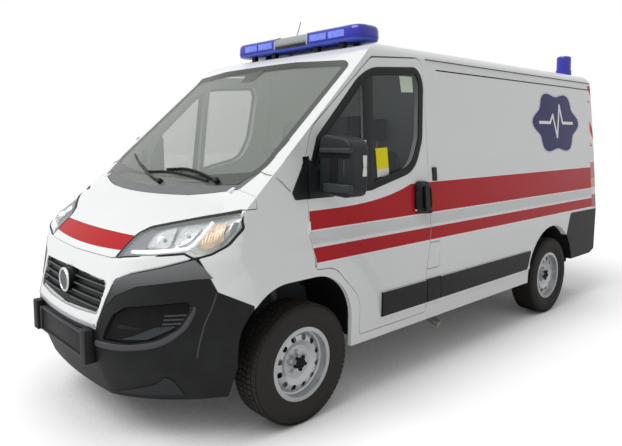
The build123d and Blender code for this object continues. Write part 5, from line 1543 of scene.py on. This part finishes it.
pair("fender_joint", wire(JOINT, 0.0016), DARK_FELT_AND_SHADE)
pair("pillar_cover", cover, PAINT)
both_doors("sail_edge", plate(flank, [Vector(p) for p in mm(
    (34.5, 1262), (66, 1262), (66, 1497), (52, 1497), (34.5, 1480))], 0.0016, 0.003), TRIM_BLACK)
corner_mark = plate(flank, [Vector(p) for p in mm(
    (2, 1425), (32.5, 1425), (32.5, 1482), (26, 1478))], 0.0016, 0.003)
pair("sail_corner", corner_mark, TRIM_BLACK)

# %% Mirrors
MIRROR_FACE = 0.112                # depths count back from here
# ledge and ridge take the paler ridge plastic, a painted highlight; groove and slot are black boxes
# standing for shade, painted shade; the rib is a thin pale line, a painted highlight
for name, low, high, edge, finish in (
    ("ledge", (1.020, -0.014, 1.516), (1.247, 0.020, 1.545), 0.006, RIDGE_HIGHLIGHT),
    ("groove", (1.000, -0.003, 1.490), (1.238, 0.010, 1.515), 0.001, SHADE_BLACK),
    ("ridge", (1.050, -0.012, 1.305), (1.245, 0.020, 1.352), 0.006, RIDGE_HIGHLIGHT),
    ("rib", (1.196, -0.0025, 1.400), (1.200, 0.010, 1.480), 0.0008, RIM_DARK),
    ("slot", (1.085, -0.002, 1.360), (1.150, 0.010, 1.488), 0.0008, SHADE_BLACK),
    ("signal", (1.242, 0.092, 1.392), (1.2499, 0.124, 1.505), 0.003, CARD_WHITE),
    ("glass", (1.030, 0.142, 1.385), (1.222, 0.1447, 1.585), 0.0005, MIRROR_GLASS),
    ("wide_glass", (1.030, 0.142, 1.290), (1.222, 0.1447, 1.370), 0.0005, MIRROR_GLASS),
):
    both_doors("mirror_" + name, box_mesh(low, high, edge, MIRROR_FACE), finish)

# %% [markdown]
# ## Rear end, hubs and sliding door
# The rear doors have black window rubbers, a seal where they meet, painted hinge straps, a handle
# and a blank number plate under two small lamps. The tail lamps' zones belong to their finish.

# %% Rear doors
REAR_NODES = ("rear_door_left", "rear_door_right", "side_panel_left", "side_panel_right",
              "rear_glass_left", "rear_glass_right")
rear_skin = Blanket("rear", REAR_NODES, (-0.90, 0.90), (0.58, 2.10), step=0.02)
REAR_FACE = rear_skin.place(0.75, 1.10).y - AXLE_Y


def rear_ring(outline, width, height):
    """A flat-lying strip round a hole in the rear doors, which are flat"""
    flat = spaced(outline, 0.02, True)
    section = [
        (-width / 2, -0.003), (-width / 2, height * 0.5), (0, height), (width / 2, height * 0.5),
        (width / 2, -0.003)]
    count, sides = len(flat), []
    for k in range(count):
        along = (flat[(k + 1) % count] - flat[k - 1]).normalized()
        sides.append(Vector((-along.y, 0, along.x)))
    centres = [Vector((p.x, REAR_FACE + AXLE_Y, p.y)) for p in flat]
    return swept(centres, sides, [Vector((0, 1, 0))] * count, section, True)


rear_window = rounded(mm((110, 1330, 60), (687, 1330, 60), (660, 1930, 60), (110, 1930, 60)), 8)
pair("rear_window_seal", rear_ring(rear_window, 0.036, 0.005), RUBBER, "rear_door_*")
centre = box_mesh((0.0045, -0.004, 0.572), (0.016, 0.003, 2.100), 0.001, REAR_FACE)
pair("rear_meeting_seal", centre, RUBBER, "rear_door_*")
for name, low, high, edge, finish in (
    ("rear_handle_base", (0.030, -0.002, 1.015), (0.090, 0.006, 1.225), 0.003, TRIM_BLACK),
    ("rear_handle_grip", (0.046, 0.004, 1.045), (0.074, 0.013, 1.195), 0.003, BUMPER_BLACK),
    ("rear_plate_frame", (0.120, -0.002, 0.700), (0.665, 0.007, 0.835), 0.003, TRIM_BLACK),
    ("rear_plate", (0.132, 0.006, 0.711), (0.653, 0.009, 0.824), 0.001, CARD_WHITE),
    ("plate_lamp_1", (0.22, -0.002, 0.845), (0.27, 0.010, 0.868), 0.003, LAMP_SHADE),
    ("plate_lamp_2", (0.53, -0.002, 0.845), (0.58, 0.010, 0.868), 0.003, LAMP_SHADE),
):
    new_piece(name, box_mesh(low, high, edge, REAR_FACE), finish, body="rear_door_left")
for k, z in enumerate((0.66, 1.24, 1.99)):
    lean = 0.045 * (z - 0.56) / 1.55         # the doors' outer edges lean in towards the roof
    cap = box_mesh((0.700 - lean, -0.002, z - 0.022), (0.796 - lean, 0.008, z + 0.022), 0.004,
                   REAR_FACE)
    pair("rear_hinge_strap", cap, PAINT, "rear_door_*", "_%d" % (k + 1))
brake = box_mesh((-0.140, -0.004, 2.120), (0.140, 0.006, 2.146), 0.003, REAR_FACE)
new_piece("high_brake_lamp", brake, RED_LENS)
bumper_back = Blanket("rear", ("rear_bumper",), (0.82, 1.00), (0.56, 0.86), step=0.01)
reflex = rounded(mm((872, 615, 6), (960, 615, 6), (960, 650, 6), (872, 650, 6)))
pair("rear_reflector", plate(bumper_back, reflex, 0.004, 0.006, step=0.03), REFLEX_RED)

# %% [markdown]
# The wheels' hubs are open to the axle. A black plug with five rounded notches fills each bore as
# painted shade, so the rim's middle reads as the dark, lobed hole that a steel wheel has there.

# %% Hub bores
NOTCHES, NOTCH_OUT = 5, 0.036
hub = turned(mm((60, 0.5), (60, 32), (73, 32), (74.5, 30), (74.5, 0.5)), 40)
notch = turned([(0.060, 0.0005), (0.060, 0.010), (0.0738, 0.010), (0.0738, 0.0005)], 16)
turns = [math.tau * (k + 0.5) / NOTCHES + math.pi / 2 for k in range(NOTCHES)]
around = [(0, NOTCH_OUT * math.cos(turn), NOTCH_OUT * math.sin(turn)) for turn in turns]
bore = joined([hub] + [moved(notch.copy(), Matrix.Translation(place)) for place in around])
for wheel, (x, y) in WHEELS.items():
    mesh = moved(bore.copy(), placed(abs(x), y, TYRE_R))
    new_piece("hub_bore_" + wheel, mesh if x > 0 else other_side(mesh), SHADE_BLACK,
              body=body_of("rim_" + wheel))
print("hub bores on:", ", ".join(WHEELS))

# %% [markdown]
# The sliding door's window has the same rubber as the others. Its pull handle is upright, and a
# black rail with a groove carries the door along the side.

# %% Sliding door
SLIDE_WINDOW = rounded(mm(
    (1500, 1330, 70), (2380, 1330, 70), (2380, 1960, 70), (1500, 1960, 70)), 8)
slide_seal = other_side(strip(flank, SLIDE_WINDOW, crown(0.040, 0.004), closed=True, step=0.02))
new_piece("sliding_window_seal", slide_seal, RUBBER)
grip_plate = rounded(mm((1440, 1085, 45), (1585, 1085, 45), (1585, 1270, 45), (1440, 1270, 45)))
handle = plate(flank, grip_plate, 0.008, 0.010, step=0.03)
new_piece("sliding_handle_plate", other_side(handle), TRIM_BLACK)
grip = rounded(mm((1490, 1100, 18), (1530, 1100, 18), (1530, 1255, 18), (1490, 1255, 18)))
grip = plate(flank, grip, 0.020, 0.014, step=0.03)
new_piece("sliding_handle_grip", other_side(grip), BUMPER_BLACK)
rail = strip(flank, mm((2490, 1372), (3720, 1372)), crown(0.034, 0.004), step=0.1)
new_piece("sliding_rail", other_side(rail), TRIM_BLACK)
# painted shade: the black strip in the rail stands for the shade in its groove
rail_groove = strip(flank, mm((2495, 1372), (3712, 1372)), crown(0.010, 0.0052), step=0.1)
new_piece("sliding_rail_groove", other_side(rail_groove), SHADE_BLACK)

# %% [markdown]
# ## Seats
# Each seat is a foam cushion and a back under tight cloth, and a small headrest on two posts.
# A plain form is remeshed into even cells, swollen by pressure as cloth and held back where it
# rests, so the cover bulges between its seams. The side bolsters take a darker cloth.

# %% Padded forms
CLOTH_STEPS = 20
BOLSTER_X = 0.170                  # the side bolsters begin here


def prism(profile, half):
    """A block with the given outline in the side view, across the seat"""
    flat = rounded(profile, 6)
    n = len(flat)
    points = [Vector((x, p.x + AXLE_Y, p.y)) for x in (-half, half) for p in flat]
    faces = [tuple(range(n)), tuple(reversed(range(n, 2 * n)))]
    faces += [(i, n + i, n + (i + 1) % n, (i + 1) % n) for i in range(n)]
    return mesh_of(points, faces, 40)


def settled(thing):
    """The object's mesh with its modifiers worked out"""
    graph = bpy.context.evaluated_depsgraph_get()
    return bpy.data.meshes.new_from_object(thing.evaluated_get(graph), depsgraph=graph)


def swollen(name, shape, held, voxel=0.010, pressure=4.0, cap=0.014):
    """Even cells, then cloth under pressure; held says which points stay where they are"""
    thing = bpy.data.objects.new(name, shape)
    bpy.context.scene.collection.objects.link(thing)
    cells = thing.modifiers.new("cells", "REMESH")
    cells.mode = "VOXEL"
    cells.voxel_size = voxel
    mesh = settled(thing)
    thing.modifiers.clear()
    thing.data = mesh
    rest = [vert.co.copy() for vert in mesh.vertices]
    pins = thing.vertex_groups.new(name="held")
    pins.add([vert.index for vert in mesh.vertices if held(vert.co)], 1.0, "REPLACE")
    cloth = thing.modifiers.new("cloth", "CLOTH")
    cloth.settings.use_pressure = True
    cloth.settings.uniform_pressure_force = pressure
    cloth.settings.vertex_group_mass = "held"
    cloth.settings.effector_weights.gravity = 0
    cloth.point_cache.frame_end = CLOTH_STEPS
    for frame in range(1, CLOTH_STEPS + 1):
        bpy.context.scene.frame_set(frame)
    mesh = settled(thing)
    bpy.context.scene.frame_set(1)
    for vert, start in zip(mesh.vertices, rest):
        shift = vert.co - start
        if shift.length > cap:
            vert.co = start + shift.normalized() * cap
    thing.modifiers.clear()
    bpy.data.objects.remove(thing)
    for face in mesh.polygons:
        face.use_smooth = True
        face.material_index = 1 if abs(face.center.x) > BOLSTER_X else 0
    return mesh


SEAT_HALF, HEAD_HALF, SEAT_X = 0.238, 0.115, 0.45
cushion = swollen("cushion", prism([
    (0.570, 0.800, 0.02), (0.570, 0.905, 0.05), (1.050, 0.888, 0.02), (1.050, 0.800, 0.02)],
    SEAT_HALF), lambda p: p.z < 0.812)
back = swollen("back", prism([
    (1.005, 0.922, 0.02), (1.130, 0.915, 0.02), (1.205, 1.505, 0.04), (1.120, 1.515, 0.04)],
    SEAT_HALF), lambda p: p.z < 0.93)
head = swollen("head", prism([
    (1.140, 1.572, 0.025), (1.208, 1.568, 0.025), (1.222, 1.728, 0.03), (1.165, 1.732, 0.03)],
    HEAD_HALF), lambda p: False)
pedestal = box_mesh((-0.210, 0.620, 0.545), (0.210, 1.020, 0.795), 0.01)
first = None
for side, x in (("left", SEAT_X), ("right", -SEAT_X)):
    shift = Matrix.Translation((x, 0, 0))
    for name, mesh in (("cushion", cushion), ("back", back), ("headrest", head)):
        shape = moved(mesh.copy(), shift)
        piece = new_piece("seat_%s_%s" % (name, side), shape, SEAT_CLOTH, SEAT_SIDE)
        first = first or piece
    new_piece("seat_pedestal_" + side, moved(pedestal.copy(), shift), CABIN_GREY)
    for k, dx in enumerate((-0.06, 0.06)):
        post = wire([(x + dx, 1.160, 1.500), (x + dx, 1.178, 1.590)], 0.007)
        new_piece("headrest_post_%s_%d" % (side, k + 1), post, SATIN_SILVER)
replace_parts(first, "seats")

# %% [markdown]
# ## Floor, light and camera
# One broad lamp from above and in front and a dim even sky give soft plain light. The floor and
# the surroundings show white to the camera through Light Path, so the ground looks white without
# more light falling on the van. The floor's glow fades where the van closes off the sky above it,
# and there its colour is darkened as a painted shadow, which keeps a soft shadow under the body.

# %% Surroundings
scene = bpy.context.scene
scene.view_settings.view_transform = "Standard"
SKY_LIGHT = 0.20


def seen_by_camera(tree):
    """1 where the camera, a reflection or a view through glass meets something"""
    path = tree.nodes.new("ShaderNodeLightPath")
    seen = Wire(tree, path.outputs["Is Camera Ray"]).most(Wire(tree, path.outputs["Is Glossy Ray"]))
    return seen.most(Wire(tree, path.outputs["Is Transmission Ray"]))


scene.world = world = bpy.data.worlds.new("soft_sky")
world.use_nodes = True
sky = world.node_tree.nodes["Background"]
sky.inputs["Color"].default_value = (1, 1, 1, 1)
level = seen_by_camera(world.node_tree) * (1.0 - SKY_LIGHT) + SKY_LIGHT
world.node_tree.links.new(level.socket, sky.inputs["Strength"])
print("sky light on the van:", SKY_LIGHT)

# %% Floor
FLOOR_HALF, FLOOR_WHITE = 40.0, "F7F7F7"
FLOOR_LIFT = 0.36                  # the glow that only the camera sees
SHADE_REACH, SHADE_GAIN = 1.0, 1.28
floor_mesh = bpy.data.meshes.new("studio_floor")
floor_mesh.from_pydata([(x * FLOOR_HALF, y * FLOOR_HALF, 0) for x, y in (
    (-1, -1), (1, -1), (1, 1), (-1, 1))], [], [(0, 1, 2, 3)])
studio_floor = bpy.data.objects.new("studio_floor", floor_mesh)
scene.collection.objects.link(studio_floor)
floor_finish = Finish("studio_floor", FLOOR_WHITE, 0.95)
floor_finish.shader.inputs["Emission Color"].default_value = (1, 1, 1, 1)
opening = floor_finish.node("AmbientOcclusion", {"samples": 12}, out=1, Distance=SHADE_REACH)
open_sky = (opening * SHADE_GAIN).clamped()
# painted shadow: the floor's colour is darkened towards 303030 where the van closes off the sky
floor_finish.feed("Base Color", floor_finish.mix(open_sky, "303030", FLOOR_WHITE))
floor_finish.feed("Emission Strength", floor_finish.node("LightPath") * FLOOR_LIFT * open_sky)
floor_mesh.materials.append(floor_finish.material)
print("floor lift:", FLOOR_LIFT)


# %% Lamp and camera
def aimed(thing, place, way):
    """Puts a lamp or the camera in its place, looking along a direction"""
    scene.collection.objects.link(thing)
    thing.location = place
    thing.rotation_mode = "QUATERNION"
    thing.rotation_quaternion = way.to_track_quat("-Z", "Y")
    return thing


LAMP_PLACE, LAMP_ENERGY, LAMP_ANGLE = (-1.0, -6.0, 9.0), 2.25, 45
light = bpy.data.lights.new("overhead", "SUN")
light.energy = LAMP_ENERGY
light.angle = math.radians(LAMP_ANGLE)
aimed(bpy.data.objects.new("overhead", light), LAMP_PLACE, -Vector(LAMP_PLACE))

WIDTH, HEIGHT = 622, 446           # size of the render, in pixels
FOCAL, CENTRE, SENSOR = 574.04, (314.70, 187.86), 36.0
CAMERA_PLACE = (3.3098, -3.57528, 1.61184)
YAW, PITCH = math.radians(-47.172), math.radians(-5.242)
ahead = Vector((math.sin(YAW) * math.cos(PITCH), math.cos(YAW) * math.cos(PITCH), math.sin(PITCH)))
lens = bpy.data.cameras.new("camera")
lens.sensor_width = SENSOR
lens.lens = FOCAL / WIDTH * SENSOR
lens.shift_x = -(CENTRE[0] - WIDTH / 2) / WIDTH
lens.shift_y = -(HEIGHT / 2 - CENTRE[1]) / WIDTH
scene.camera = aimed(bpy.data.objects.new("camera", lens), CAMERA_PLACE, ahead)
print("camera at", tuple(round(c, 3) for c in CAMERA_PLACE))
